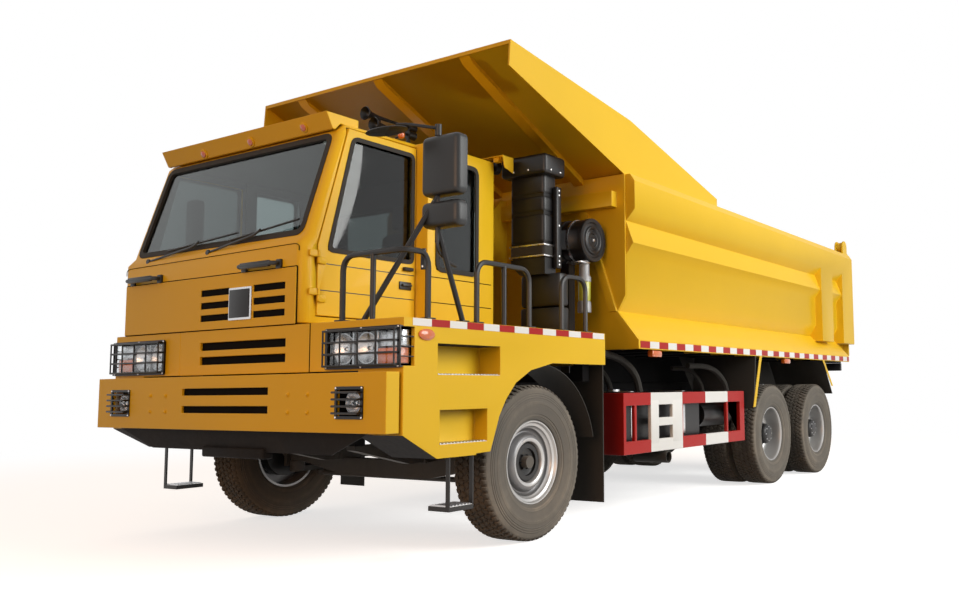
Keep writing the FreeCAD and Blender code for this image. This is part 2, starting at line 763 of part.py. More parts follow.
arch_points = [
    (926.0, 677.0), (976.0, 801.0), (1019.0, 911.0), (1089.0, 1022.0), (1196.0, 1136.0), (1366.0, 1225.0),
    (1624.0, fender_rear_low_z)]
headlamp_shift = 185.0
headlamp_inset = 25.0
headlamp_inner_x = apron_half_width + headlamp_shift
headlamp_outer_x = half_width - headlamp_inset
headlamp_low_z = 1240.0
headlamp_high_z = 1476.0
headlamp_depth = 90.0
headlamp_proud = 12.0
fog_inset = 214.0
fog_width = 218.0
fog_outer_x = half_width - fog_inset
fog_inner_x = fog_outer_x - fog_width
fog_low_z = 936.0
fog_high_z = 1104.0
step_front_y = 545.0
step_rear_y = 775.0
step_low_z = 320.0
step_post = 30.0
step_width = 180.0
step_inset = 15.0
step_outer_x = half_width - step_inset
step_inner_x = step_outer_x - step_width


def slots(y0, y1, x0, x1, lows, height):
    return join([block(x0, x1, y0, y1, low, low + height) for low in lows])


def bumper():
    plate = block(-bumper_half_width, bumper_half_width, 0, bumper_wall, bumper_low_z, bumper_high_z)
    end = block(bumper_half_width - bumper_wall, bumper_half_width, 0, bumper_depth, bumper_low_z, bumper_high_z)
    shelf = block(-bumper_half_width, bumper_half_width, 0, bumper_depth, bumper_high_z - bumper_wall, bumper_high_z)
    floor = block(-bumper_half_width, bumper_half_width, 0, bumper_depth, bumper_low_z, bumper_low_z + bumper_wall)
    arm = block(rail_half_width - rail_flange, rail_half_width, bumper_wall, rail_front_y,
                rail_bottom_z + cross_height / 4, rail_top_z - cross_height / 4)
    solid = join([plate, end, mirrored(end), shelf, floor, arm, mirrored(arm)])
    cut = slots(-overrun, bumper_wall + overrun, -slot_half_length, slot_half_length,
                [slot_low_z, slot_high_z], slot_height)
    fog = fog_opening()
    return solid.cut(cut).cut(fog).cut(mirrored(fog))


def fog_opening():
    return block(fog_inner_x, fog_outer_x, -overrun, bumper_wall + overrun, fog_low_z, fog_high_z)


def fog_lamp():
    return block(fog_inner_x + seat_gap, fog_outer_x - seat_gap, bumper_wall / 2, bumper_depth - bumper_wall,
                 fog_low_z + seat_gap, fog_high_z - seat_gap)


def apron():
    y0 = cab_front_y
    reach = apron_half_width - seat_gap
    plate = block(-reach, reach, y0, y0 + bumper_wall, apron_low_z, deck_z)
    lows = [apron_slot_low_z, apron_slot_low_z + apron_slot_pitch]
    cut = slots(y0 - overrun, y0 + bumper_wall + overrun, -slot_half_length, slot_half_length, lows,
                apron_slot_height)
    shelf = block(-reach, reach, y0, outrigger_front_y, deck_z - bumper_wall, deck_z)
    return join([plate, shelf]).cut(cut)


def radiator():
    y0 = cab_front_y + bumper_wall + moving_gap
    core = block(-engine_half_width, engine_half_width, y0, y0 + bumper_depth, rail_bottom_z, deck_z - cab_wall)
    wide = block(-slot_half_length, slot_half_length, y0, y0 + bumper_depth, rail_top_z + seat_gap, deck_z - cab_wall)
    return join([core, wide])


def headlamp_box(margin):
    """The lamp wraps the box's outer corner."""
    y0 = cab_front_y
    return block(headlamp_inner_x - margin, half_width + overrun, y0 - headlamp_proud, y0 + headlamp_depth + margin,
                 headlamp_low_z - margin, headlamp_high_z + margin)


def headlamp():
    y0 = cab_front_y
    return block(headlamp_inner_x, headlamp_outer_x, y0 - headlamp_proud, y0 + headlamp_depth,
                 headlamp_low_z, headlamp_high_z)


def recess(x0, edges, margin):
    front, back, low, high = edges
    return block(x0 - margin, half_width, front - margin, back + margin, low - margin, high + margin)


def fender():
    """The left one: deck, front box with two step recesses, outer skirt with the wheel's arch."""
    y0 = cab_front_y
    x1 = half_width
    profile = [(y0, box_chin_z), (box_chin_y, box_low_z)] + arch_points
    profile += [(fender_rear_y, fender_rear_low_z), (fender_rear_y, deck_z), (y0, deck_z)]
    skirt = prism_x(profile, x1 - fender_skirt, x1)
    deck = block(apron_half_width, x1, y0, fender_rear_y, deck_z - fender_top_wall, deck_z)
    inner = [(y0, box_chin_z), (box_chin_y, box_low_z), (box_rear_y, box_low_z), (box_rear_y, deck_z), (y0, deck_z)]
    box = prism_x(inner, box_inner_x, x1)
    face = block(apron_half_width, box_inner_x, y0, y0 + headlamp_depth + bumper_wall, apron_low_z, deck_z)
    rear = block(apron_half_width, x1, fender_rear_y - fender_skirt, fender_rear_y, fender_rear_low_z, deck_z)
    solid = join([skirt, deck, box, face, rear, recess(upper_recess_x, upper_recess, step_wall),
                  recess(lower_recess_x, lower_recess, step_wall)])
    for x, (front, back, low, high) in ((upper_recess_x, upper_recess), (lower_recess_x, lower_recess)):
        solid = solid.cut(block(x, x1 + overrun, front, back, low, high))
    return solid.cut(headlamp_box(seat_gap)).removeSplitter()


def lamp_guard():
    """A wire frame over the headlamp, bent round the box's corner."""
    y = cab_front_y - headlamp_proud - guard_proud
    back_y = cab_front_y
    x0 = headlamp_inner_x + guard_bar_radius
    x1 = headlamp_outer_x
    low = headlamp_low_z + guard_bar_radius
    high = headlamp_high_z - guard_bar_radius
    bars = []
    for step in range(4):
        z = low + (high - low) * step / 3
        bars.append(pipe([(x0, back_y - headlamp_proud, z), (x0, y, z), (x1, y, z),
                          (x1, back_y - headlamp_proud, z)], guard_bar_radius))
    for step in range(5):
        x = x0 + (x1 - x0) * step / 4
        bars.append(rod((x, y, low), (x, y, high), guard_bar_radius * upright_share))
    return join(bars)


def fog_guard():
    y = -guard_proud
    bars = []
    for step in range(4):
        z = fog_low_z + (fog_high_z - fog_low_z) * (step + 0.5) / 4
        bars.append(pipe([(fog_inner_x, 0, z), (fog_inner_x, y, z), (fog_outer_x, y, z), (fog_outer_x, 0, z)],
                         guard_bar_radius))
    return bars


def hanging_step():
    """A tread on flat posts that hang from the box."""
    x1 = step_outer_x
    wall = step_post / 3
    tread = block(step_inner_x, x1, step_front_y, step_rear_y, step_low_z, step_low_z + step_post)
    posts = [block(x1 - step_post, x1, y, y + wall, step_low_z, box_low_z)
             for y in (step_front_y, step_rear_y - wall)]
    return join([tread] + posts)


# Handrails, mirrors and what stands on the left deck
rail_tube_radius = 19.0
rail_top = 1960.0
rail_inset = 45.0
corner_rail_x = 975.0
corner_rail_end_y = 372.0
side_rail_front_y = 830.0
side_rail_rear_y = 1400.0
box_rail_front_y = 1800.0
box_rail_rear_y = 2120.0
mirror_post_y = 450.0
mirror_low_z = 2350.0
mirror_high_z = 2750.0
mirror_wide_low_z = 2140.0
mirror_wide_high_z = 2312.0
mirror_width = 290.0
mirror_head_width = 330.0
mirror_post_inset = 215.0
mirror_dish_width = 360.0
mirror_depth = 95.0
mirror_tube_radius = 16.0
mirror_foot_wall = 12.0


def handrails():
    z0 = deck_z
    x1 = half_width - rail_inset
    y0 = cab_front_y + rail_inset
    r = rail_tube_radius
    corner = pipe([(corner_rail_x, y0, z0), (corner_rail_x, y0, rail_top), (x1 - rail_inset, y0, rail_top),
                   (x1, y0 + rail_inset, rail_top), (x1, corner_rail_end_y, rail_top),
                   (x1, corner_rail_end_y, z0)], r)
    post = rod(((corner_rail_x + x1) / 2, y0, z0), ((corner_rail_x + x1) / 2, y0, rail_top), r)
    side = pipe([(x1, side_rail_front_y, z0), (x1, side_rail_front_y, rail_top), (x1, side_rail_rear_y, rail_top),
                 (x1, side_rail_rear_y, z0)], r)
    side_post = rod((x1, (side_rail_front_y + side_rail_rear_y) / 2, z0),
                    (x1, (side_rail_front_y + side_rail_rear_y) / 2, rail_top), r)
    rear = pipe([(x1, box_rail_front_y, z0), (x1, box_rail_front_y, rail_top), (x1, box_rail_rear_y, rail_top),
                 (x1, box_rail_rear_y, z0)], r)
    return [join([corner, post]), join([side, side_post]), rear]


def mirror_head(x0, x1, y):
    main = block(x0, x1, y, y + mirror_depth, mirror_low_z, mirror_high_z)
    wide = block(x0, x1, y, y + mirror_depth, mirror_wide_low_z, mirror_wide_high_z)
    return [main, wide]


def strut_foot(x, y):
    half = 2 * mirror_tube_radius
    low = deck_z + seat_gap
    return block(x - half, x + half, y - half, y + half, low, low + mirror_foot_wall)


def mirror_left():
    """Two heads on a post that two struts hold up from the deck, and a look-down mirror on an arm."""
    x1 = mirror_reach
    x0 = x1 - mirror_head_width
    post_x = x1 - mirror_post_inset
    y = mirror_post_y + mirror_depth / 2
    foot_z = deck_z + mirror_foot_wall
    front_foot = (corner_rail_x + mirror_width / 2, cab_front_y + 2 * rail_inset)
    rear_foot = (half_width - rail_inset, side_rail_front_y - 3 * rail_inset)
    arm_z = mirror_high_z + mirror_depth / 2
    dish_y = y - 2 * mirror_depth
    dish_x1 = post_x - mirror_depth
    dish_x0 = dish_x1 - mirror_dish_width
    post = rod((post_x, y, mirror_wide_low_z - mirror_depth), (post_x, y, arm_z), mirror_tube_radius)
    front = rod((front_foot[0], front_foot[1], foot_z), (post_x, y, mirror_low_z), mirror_tube_radius)
    rear = rod((rear_foot[0], rear_foot[1], foot_z), (post_x, y, mirror_wide_low_z), mirror_tube_radius)
    arm_low_z = arm_z - mirror_tube_radius
    arm = rod((post_x, y, arm_low_z), (dish_x1 - mirror_depth, dish_y, arm_low_z), mirror_tube_radius)
    low_mirror = block(dish_x0, dish_x1, dish_y - mirror_depth, dish_y + mirror_depth,
                       arm_z - mirror_depth / 3, arm_z + mirror_depth / 3)
    feet = [strut_foot(*front_foot), strut_foot(*rear_foot)]
    return join(mirror_head(x0, x1, mirror_post_y) + [post, front, rear, arm, low_mirror] + feet)


def mirror_right():
    """It is carried by the right door."""
    outer = -mirror_reach
    inner = outer + mirror_width / 2
    y = door_front_y + 5 * mirror_depth
    heads = mirror_head(outer, inner, y)
    post_x = (outer + inner) / 2
    post_y = y + mirror_depth / 2
    arm_z = cab_belt_z - 2 * door_sash
    seat_x = cab_right_x - seat_gap
    seat_y = door_front_y + hinge_leaf_length + mirror_depth
    post = rod((post_x, post_y, arm_z), (post_x, post_y, mirror_high_z), mirror_tube_radius)
    arm_end_x = seat_x - mirror_foot_wall / 2 - mirror_tube_radius
    arm = rod((post_x, post_y, arm_z), (arm_end_x, seat_y, arm_z), mirror_tube_radius)
    half = mirror_depth / 2
    seat = block(seat_x - 2 * mirror_foot_wall, seat_x, seat_y - half, seat_y + half, arm_z - half, arm_z + half)
    return join(heads + [post, arm, seat])


# Engine air intake, behind the cab on the left
stack_gap = 5.0
stack_width = 360.0
stack_depth = 170.0
stack_front_y = 2140.0
stack_low_z = 2060.0
stack_high_z = 2880.0
stack_cap_overhang = 60.0
stack_cap_height = 170.0
stack_radius = 45.0
stack_foot_inset = 60.0
stack_foot_reach = 120.0
stack_foot_tail = 20.0
stack_x0 = bulge_x + stack_gap
stack_x1 = stack_x0 + stack_width
stack_rear_y = stack_front_y + stack_depth
filter_y = 2640.0
filter_z = 2375.0
filter_radius = 185.0
filter_end_inset = 325.0
filter_end_x = half_width - filter_end_inset
filter_length = 620.0
filter_collar = 90.0


def intake_stack():
    body = block(stack_x0, stack_x1, stack_front_y, stack_rear_y, stack_low_z, stack_high_z)
    body = rounded(body, stack_radius, is_upright)
    over = stack_cap_overhang
    cap = block(stack_x0 - over, stack_x1 + over, stack_front_y - over, stack_rear_y + over,
                stack_high_z, stack_high_z + stack_cap_height)
    cap = rounded(cap, stack_radius, is_upright)
    foot = block(stack_x0 + stack_foot_inset, stack_x1 + stack_foot_reach, stack_front_y + stack_foot_inset,
                 stack_rear_y + stack_foot_tail, deck_z, stack_low_z)
    return join([body, cap, foot])


def air_filter():
    x1 = filter_end_x
    drum = cylinder_x(x1 - filter_length, x1, filter_y, filter_z, filter_radius)
    collar = cylinder_x(x1 - filter_length / 2, x1 - filter_length / 2 + filter_collar, filter_y, filter_z,
                        filter_radius + moving_gap)
    duct = block(stack_x0 + stack_foot_inset, stack_x1 - stack_foot_inset, stack_rear_y + seat_gap, filter_y,
                 filter_z - filter_radius / 2, filter_z + filter_radius / 2)
    post = block(x1 - filter_length / 2, x1 - filter_length / 2 + filter_collar, filter_y - filter_collar / 2,
                 filter_y + filter_collar / 2, rail_top_z, filter_z - filter_radius / 2)
    beam = block(rail_half_width, x1 - filter_length / 2 + filter_collar, filter_y - filter_collar / 2,
                 filter_y + filter_collar / 2, rail_top_z, rail_top_z + outrigger_height)
    ledge = block(rail_half_width - rail_flange, rail_half_width, filter_y - filter_collar / 2,
                  filter_y + filter_collar / 2, rail_top_z + seat_gap, rail_top_z + outrigger_height)
    return join([drum, collar, duct, post, beam, ledge])


# Flanks: tank, battery box, side guards, exhaust, flaps
tank_front_y = 2830.0
tank_rear_setback = 1620.0
tank_low_z = 560.0
tank_high_z = 1060.0
tank_inset = 175.0
tank_width = 620.0
tank_corner = 90.0
air_tank_radius = 120.0
air_tank_front_setback = 1500.0
air_tank_rear_setback = 840.0
guard_front_y = 2710.0
guard_rear_setback = 781.0
guard_low_z = 529.0
guard_high_z = 1053.0
guard_inset = 65.0
guard_front_width = 240.0
guard_rail = 110.0
guard_wall = 40.0
guard_white_front_y = 3204.0
guard_white_rear_y = 3766.0
flap_inset = 30.0
flap_width = 325.0
flap_low_z = 185.0
flap_wall = 12.0
battery_front_setback = 1500.0
battery_rear_setback = 930.0
battery_low_z = 620.0
muffler_radius = 150.0
muffler_front_y = 2800.0
muffler_rear_setback = 2020.0
muffler_z = 830.0
tank_rear_y = mid_axle_y - tank_rear_setback
tank_outer_x = half_width - tank_inset
tank_inner_x = tank_outer_x - tank_width
air_tank_front_y = mid_axle_y - air_tank_front_setback
air_tank_rear_y = mid_axle_y - air_tank_rear_setback
guard_rear_y = mid_axle_y - guard_rear_setback
guard_outer_x = half_width - guard_inset
guard_inner_x = guard_outer_x - guard_front_width
flap_outer_x = half_width - flap_inset
flap_inner_x = flap_outer_x - flap_width
battery_front_y = mid_axle_y - battery_front_setback
battery_rear_y = mid_axle_y - battery_rear_setback
muffler_rear_y = mid_axle_y - muffler_rear_setback


def fuel_tank():
    tank = block(tank_inner_x, tank_outer_x, tank_front_y, tank_rear_y, tank_low_z, tank_high_z)
    tank = rounded(tank, tank_corner, lambda e: abs(e.Vertexes[0].Y - e.Vertexes[-1].Y) > tank_corner)
    return join([tank] + tank_brackets(tank_front_y, tank_rear_y, tank_inner_x, tank_high_z))


def tank_brackets(front, rear, reach, high):
    return [block(rail_half_width, reach + tank_corner, y, y + flap_wall * 4, high - 3 * tank_corner,
                  high - tank_corner) for y in (front + tank_corner, rear - 2 * tank_corner)]


def air_tanks():
    tanks = [Part.makeCylinder(air_tank_radius, air_tank_rear_y - air_tank_front_y,
                               Vector(x, air_tank_front_y, z), Vector(0, 1, 0))
             for x, z in ((tank_outer_x - air_tank_radius, tank_high_z - 2 * air_tank_radius),
                          (tank_outer_x - 3.2 * air_tank_radius, tank_high_z - 2 * air_tank_radius))]
    brackets = [block(rail_half_width, tank_outer_x - air_tank_radius, y, y + guard_wall,
                      tank_high_z - 2 * air_tank_radius, tank_high_z - air_tank_radius)
                for y in (air_tank_front_y + guard_rail, air_tank_rear_y - 2 * guard_rail)]
    return join(tanks + brackets)


def battery_box():
    """A box on two arms from the right rail."""
    box = block(tank_inner_x, tank_outer_x, battery_front_y, battery_rear_y, battery_low_z, tank_high_z)
    arms = [block(rail_half_width, tank_inner_x, y, y + guard_wall, tank_high_z - guard_rail, tank_high_z - guard_wall)
            for y in (battery_front_y + guard_rail, battery_rear_y - 2 * guard_rail)]
    return join([box] + arms)


def side_guard():
    """A frame of two rails with a closed front, a ladder part and a closed rear end."""
    x0 = guard_outer_x - guard_wall
    x1 = guard_outer_x
    top = block(x0, x1, guard_front_y, guard_rear_y, guard_high_z - guard_rail, guard_high_z)
    low = block(x0, x1, guard_front_y, guard_rear_y, guard_low_z, guard_low_z + guard_rail)
    front = block(guard_inner_x, x1, guard_front_y, guard_front_y + guard_wall, guard_low_z, guard_high_z)
    rear = block(x0, x1, guard_rear_y - guard_rail, guard_rear_y, guard_low_z, guard_high_z)
    rung_z = (guard_low_z + guard_high_z) / 2
    rung = block(x0, x1, guard_white_front_y, guard_white_rear_y, rung_z - guard_rail / 3, rung_z + guard_rail / 3)
    uprights = [block(x0, x1, y, y + guard_rail / 2, guard_low_z, guard_high_z)
                for y in (guard_white_front_y, guard_white_rear_y - guard_rail / 2)]
    arms = [block(rail_half_width, x1 - guard_wall / 2, y, y + guard_wall, guard_high_z - guard_rail + seat_gap,
                  guard_high_z - guard_rail / 4)
            for y in (guard_front_y, guard_rear_y - guard_rail)]
    return join([top, low, front, rear, rung] + uprights + arms)


def mudflap():
    plate = block(flap_inner_x, flap_outer_x, fender_rear_y + seat_gap, fender_rear_y + seat_gap + flap_wall,
                  flap_low_z, deck_z - fender_skirt)
    return plate


def muffler():
    can = Part.makeCylinder(muffler_radius, muffler_rear_y - muffler_front_y,
                            Vector(tank_inner_x + muffler_radius, muffler_front_y, muffler_z), Vector(0, 1, 0))
    x = tank_inner_x + muffler_radius
    tail = pipe([(x, muffler_rear_y, muffler_z), (x, muffler_rear_y + muffler_radius, muffler_z),
                 (x + muffler_radius, muffler_rear_y + 2 * muffler_radius, muffler_z - muffler_radius)],
                muffler_radius / 2.5)
    straps = [block(rail_half_width, x, y, y + guard_wall, muffler_z, muffler_z + muffler_radius * 1.1)
              for y in (muffler_front_y + guard_rail, muffler_rear_y - 2 * guard_rail)]
    return join([can, tail] + straps)


# Dump bed: sides, front wall, floor, canopy, mudguards
bed_fold_inset = 214.0
bed_panel_inset = 131.0
bed_ridge_inset = 57.0
bed_lip_inset = 85.0
bed_fold_x = half_width - bed_fold_inset
bed_panel_x = half_width - bed_panel_inset
bed_ridge_x = half_width - bed_ridge_inset
bed_lip_x = half_width - bed_lip_inset
bed_fold_z = 1765.0
bed_panel_low_z = 1903.0
bed_panel_high_z = 2265.0
bed_ridge_z = 2366.0
bed_neck_z = 2565.0
bed_box_low_z = 2665.0
bed_box_high_z = 2915.0
bed_strip_z = 1510.0
bed_skirt_setback = 390.0
bed_skirt_rear_y = bed_rear_y - bed_skirt_setback
bed_floor_wall = 20.0
bed_floor_z = 1500.0
bed_wall = 20.0
post_a_length = 435.0
post_b_length = 460.0
post_spacing = 420.0
post_b = (bed_rear_y - post_b_length, bed_rear_y)
post_a = (post_b[0] - post_spacing - post_a_length, post_b[0] - post_spacing)
post_low_z = 1690.0
beam_half_x = 380.0
beam_width = 90.0
beam_lift = 6.0
beam_low_z = rail_top_z + beam_lift
cross_pitch = 560.0
cross_beam_width = 90.0
bed_rib_depth = 80.0
bed_rib_low_z = 2690.0
bed_rib_high_z = 2830.0
canopy_wall = 14.0
canopy_inset = 142.0
canopy_half_width = half_width - canopy_inset
canopy_bend_y = 3000.0
canopy_bend_z = 3499.0
canopy_run = 1852.0
canopy_end_y = bed_front_y + canopy_run
canopy_end_height = 100.0
canopy_tip_low_z = 3488.0
canopy_rib_height = 60.0
canopy_rib_width = 100.0
canopy_lip_height = 30.0


def side_wall():
    skin = bed_wall
    outline = [
        (bed_inner_x, bed_floor_z), (bed_inner_x, bed_box_high_z + skin), (bed_inner_x + skin, bed_top_z),
        (bed_lip_x, bed_top_z), (bed_outer_x, bed_box_high_z), (bed_outer_x, bed_box_low_z),
        (bed_panel_x, bed_neck_z), (bed_ridge_x, bed_ridge_z), (bed_panel_x, bed_panel_high_z),
        (bed_panel_x, bed_panel_low_z), (bed_fold_x, bed_fold_z), (bed_fold_x, bed_floor_z)]
    wall = prism_y(outline, bed_front_y, bed_rear_y)
    skirt_outline = [
        (bed_fold_x - skin, bed_fold_z), (bed_fold_x, bed_fold_z), (half_width, bed_strip_z),
        (half_width, bed_skirt_z), (half_width - skin, bed_skirt_z), (half_width - skin, bed_strip_z - skin / 2)]
    skirt = prism_y(skirt_outline, bed_front_y, bed_skirt_rear_y)
    posts = [block(bed_inner_x + skin, bed_outer_x, front, rear, post_low_z, bed_box_low_z + skin)
             for front, rear in (post_a, post_b)]
    return join([wall, skirt] + posts)


def bed_front():
    """The front wall with its box rib, its slanted braces and the hoist's upper bracket."""
    y1 = bed_front_y - seat_gap
    y0 = y1 - bed_wall
    outline = [
        (-half_width, bed_skirt_z), (half_width, bed_skirt_z), (half_width, bed_strip_z), (bed_fold_x, bed_fold_z),
        (bed_panel_x, bed_panel_low_z), (bed_panel_x, bed_top_z), (-bed_panel_x, bed_top_z),
        (-bed_panel_x, bed_panel_low_z), (-bed_fold_x, bed_fold_z), (-half_width, bed_strip_z)]
    plate = prism_y(outline, y0, y1)
    rib = block(-bed_fold_x, bed_fold_x, y0 - bed_rib_depth, y0, bed_rib_low_z, bed_rib_high_z)
    brace_outline = [
        (bed_fold_x - bed_rib_depth, bed_fold_z), (bed_fold_x, bed_fold_z),
        (bed_fold_x - 4 * bed_rib_depth, bed_rib_low_z), (bed_fold_x - 5 * bed_rib_depth, bed_rib_low_z)]
    brace = prism_y(brace_outline, y0 - bed_wall, y0)
    cheek_outline = [
        (hoist_eye_y - hoist_cheek_radius, hoist_eye_z - hoist_cheek_radius), (y0, hoist_eye_z - hoist_cheek_radius),
        (y0, bed_rib_high_z + hoist_cheek_radius), (y0 - bed_rib_depth, bed_rib_high_z + hoist_cheek_radius),
        (hoist_eye_y - hoist_cheek_radius, hoist_eye_z + hoist_cheek_radius)]
    cheek = prism_x(cheek_outline, hoist_eye_half, hoist_eye_half + hoist_cheek)
    head = cylinder_x(hoist_eye_half + hoist_cheek, hoist_eye_half + 2 * hoist_cheek, hoist_eye_y, hoist_eye_z,
                      hoist_pin_radius)
    return join([plate, rib, brace, mirrored(brace)] + both_sides(join([cheek, head])))


def bed_cross_ys():
    count = int((bed_rear_y - bed_front_y) / cross_pitch)
    pitch = (bed_rear_y - bed_front_y - 2 * cross_beam_width) / count
    return [bed_front_y + cross_beam_width / 2 + step * pitch for step in range(count + 1)]


def bed_floor():
    """Floor plate on cross beams, and two long beams that end in the pivot's eyes."""
    reach = bed_inner_x - seat_gap
    y0 = bed_front_y + seat_gap
    plate = block(-reach, reach, y0, bed_rear_y, bed_floor_z, bed_floor_z + bed_floor_wall)
    beam_end = pivot_y - pivot_lug_radius - moving_gap
    beam = block(beam_half_x - beam_width / 2, beam_half_x + beam_width / 2, y0, beam_end, beam_low_z, bed_floor_z)
    eye_middle = rail_half_width - rail_flange / 2
    half = rail_flange / 2 - pivot_lug_wall - moving_gap / 2
    eye_radius = pivot_lug_radius - moving_gap / 4
    eye = cylinder_x(eye_middle - half, eye_middle + half, pivot_y, pivot_z, eye_radius)
    web = block(eye_middle - half, eye_middle + half, beam_end, pivot_y + eye_radius, pivot_z, bed_floor_z)
    pieces = [plate] + both_sides(join([beam, eye, web]))
    for y in bed_cross_ys():
        pieces.append(block(-reach, reach, y, y + cross_beam_width, bed_skirt_z, bed_floor_z))
    hole = cylinder_x(-half_width, half_width, pivot_y, pivot_z, pivot_pin_radius + pin_gap)
    return join(pieces).cut(hole)


def skirt_ties():
    """Short plates carry the skirt's lower edge from the side wall's foot."""
    return [block(bed_inner_x, half_width - bed_wall / 2, y, y + cross_beam_width / 4, bed_skirt_z,
                  bed_floor_z + bed_wall) for y in bed_cross_ys() if y < bed_skirt_rear_y - cross_beam_width]


def canopy():
    """A sloping plate between two side plates that run back along the bed's rails."""
    x = canopy_half_width
    rear_y = bed_front_y
    side_outline = [
        (canopy_tip_y, canopy_tip_z), (canopy_tip_y - canopy_wall, canopy_tip_low_z), (rear_y, bed_top_z + seat_gap),
        (canopy_end_y, bed_top_z + seat_gap), (canopy_end_y, bed_top_z + canopy_end_height),
        (canopy_bend_y, canopy_bend_z)]
    side = prism_x(side_outline, x - canopy_wall, x)
    plate_z = canopy_tip_z - canopy_wall
    plate_outline = [
        (canopy_tip_y, plate_z), (rear_y, bed_top_z + seat_gap),
        (rear_y, bed_top_z + canopy_wall + seat_gap), (canopy_tip_y, canopy_tip_z)]
    plate = prism_x(plate_outline, -x, x)
    lip = block(-x, x, canopy_tip_y, canopy_tip_y + canopy_wall, canopy_tip_z - canopy_lip_height, canopy_tip_z)
    drop = (plate_z - bed_top_z) / (rear_y - canopy_tip_y)
    run = bed_wall + 2 * seat_gap
    bite = canopy_wall / 2
    rib_outline = [
        (canopy_tip_y, plate_z + bite), (rear_y - run, bed_top_z + run * drop + bite),
        (rear_y - run, bed_top_z + run * drop - canopy_rib_height),
        (canopy_tip_y + canopy_rib_height, plate_z - canopy_rib_height)]
    ribs = [prism_x(rib_outline, centre - canopy_rib_width / 2, centre + canopy_rib_width / 2)
            for centre in (-x * 2 / 3, 0, x * 2 / 3)]
    return join([side, mirrored(side), plate, lip] + ribs)


mudguard_width = 755.0
mudguard_front_setback = 670.0
mudguard_rear_setback = 421.0
mudguard_low_z = 862.0
mudguard_rear_low_z = 1000.0
mudguard_inner_x = half_width - mudguard_width
mudguard_front_y = mid_axle_y - mudguard_front_setback
mudguard_rear_y = rear_axle_y + mudguard_rear_setback


def mudguards():
    """Plates ahead of and behind the rear wheels hang from the bed's skirt."""
    x0 = mudguard_inner_x
    x1 = half_width - bed_wall / 4
    top = bed_skirt_z - seat_gap
    front = prism_x([(mudguard_front_y + bed_rib_depth, top), (mudguard_front_y, mudguard_low_z),
                     (mudguard_front_y + bed_wall, mudguard_low_z),
                     (mudguard_front_y + bed_rib_depth + bed_wall, top)], x0, x1)
    rear_top_y = mudguard_rear_y - 4 * bed_rib_depth
    rear = prism_x([(rear_top_y, top), (mudguard_rear_y, mudguard_rear_low_z),
                    (mudguard_rear_y + bed_wall, mudguard_rear_low_z), (rear_top_y + bed_wall, top)], x0, x1)
    return both_sides(front) + both_sides(rear)


# Tailgate, hung from pins on top of the rear posts
hinge_setback = 155.0
hinge_y = bed_rear_y - hinge_setback
hinge_z = 3085.0
hinge_ear_radius = 88.0
hinge_pin_radius = 28.0
hinge_wall = 25.0
gate_wall = 30.0
gate_top_z = 2880.0
gate_low_z = 1530.0
gate_rib = 95.0


def gate_hinge_ears():
    """Two ears on the side's rail and the pin on which the gate hangs."""
    inner = bed_inner_x + bed_wall
    ears = []
    for x in (inner, bed_lip_x - hinge_wall):
        ears.append(cylinder_x(x, x + hinge_wall, hinge_y, hinge_z, hinge_ear_radius))
        ears.append(block(x, x + hinge_wall, hinge_y - hinge_ear_radius, hinge_y + hinge_ear_radius,
                          bed_top_z - bed_wall / 2, hinge_z))
    pin = cylinder_x(inner, bed_lip_x, hinge_y, hinge_z, hinge_pin_radius)
    return join(ears + [pin])


def gate_arm():
    """It reaches from the pin over the side's rear end and down the gate's back."""
    x0 = bed_inner_x + bed_wall + hinge_wall + moving_gap
    x1 = bed_lip_x - hinge_wall - moving_gap
    y0 = bed_rear_y + moving_gap
    back = y0 + gate_wall + gate_rib / 2
    low = gate_top_z - 3 * gate_rib
    reach = hinge_ear_radius * 0.8
    outline = [
        (hinge_y, hinge_z + reach), (back, bed_top_z + moving_gap), (back, low), (y0, low),
        (y0, bed_top_z + moving_gap), (hinge_y, bed_top_z + moving_gap)]
    arm = prism_x(outline, x0, x1)
    eye = cylinder_x(x0, x1, hinge_y, hinge_z, reach)
    hole = cylinder_x(x0 - overrun, x1 + overrun, hinge_y, hinge_z, hinge_pin_radius + pin_gap)
    return join([arm, eye]).cut(hole)


def tailgate():
    y0 = bed_rear_y + moving_gap
    y1 = y0 + gate_wall
    plate = block(-bed_panel_x, bed_panel_x, y0, y1, gate_low_z, gate_top_z)
    ribs = [block(-bed_fold_x, bed_fold_x, y1, y1 + gate_rib, z, z + gate_rib)
            for z in (gate_low_z, (gate_low_z + gate_top_z) / 2, gate_top_z - gate_rib)]
    uprights = [block(x - gate_rib / 2, x + gate_rib / 2, y1, y1 + gate_rib * 0.8, gate_low_z, gate_top_z)
                for x in (-bed_fold_x * 2 / 3, 0, bed_fold_x * 2 / 3)]
    hook = block(bed_fold_x - gate_rib, bed_fold_x, y1, rear_reach, gate_low_z, gate_low_z + gate_rib)
    return join([plate, gate_arm(), mirrored(gate_arm()), hook, mirrored(hook)] + ribs + uprights)


# Front hoist: a barrel on trunnions and nested stages up to the eye between the front wall's cheeks
hoist_stages = 4
hoist_tube_wall = 14.0
hoist_tube_gap = 1.0
hoist_base_pin_radius = 42.0
hoist_tail = 90.0
hoist_foot = 60.0
hoist_foot_step = 15.0
hoist_head = 130.0
hoist_head_step = 20.0
hoist_closed_length = math.hypot(hoist_eye_y - hoist_base_y, hoist_eye_z - hoist_base_z)


def along_hoist(shape):
    """Stands a shape built along z from the base pin into the hoist's lean."""
    lean = math.degrees(math.atan2(hoist_eye_y - hoist_base_y, hoist_eye_z - hoist_base_z))
    shape = shape.copy()
    shape.rotate(Vector(0, 0, 0), Vector(1, 0, 0), -lean)
    shape.translate(Vector(0, hoist_base_y, hoist_base_z))
    return shape


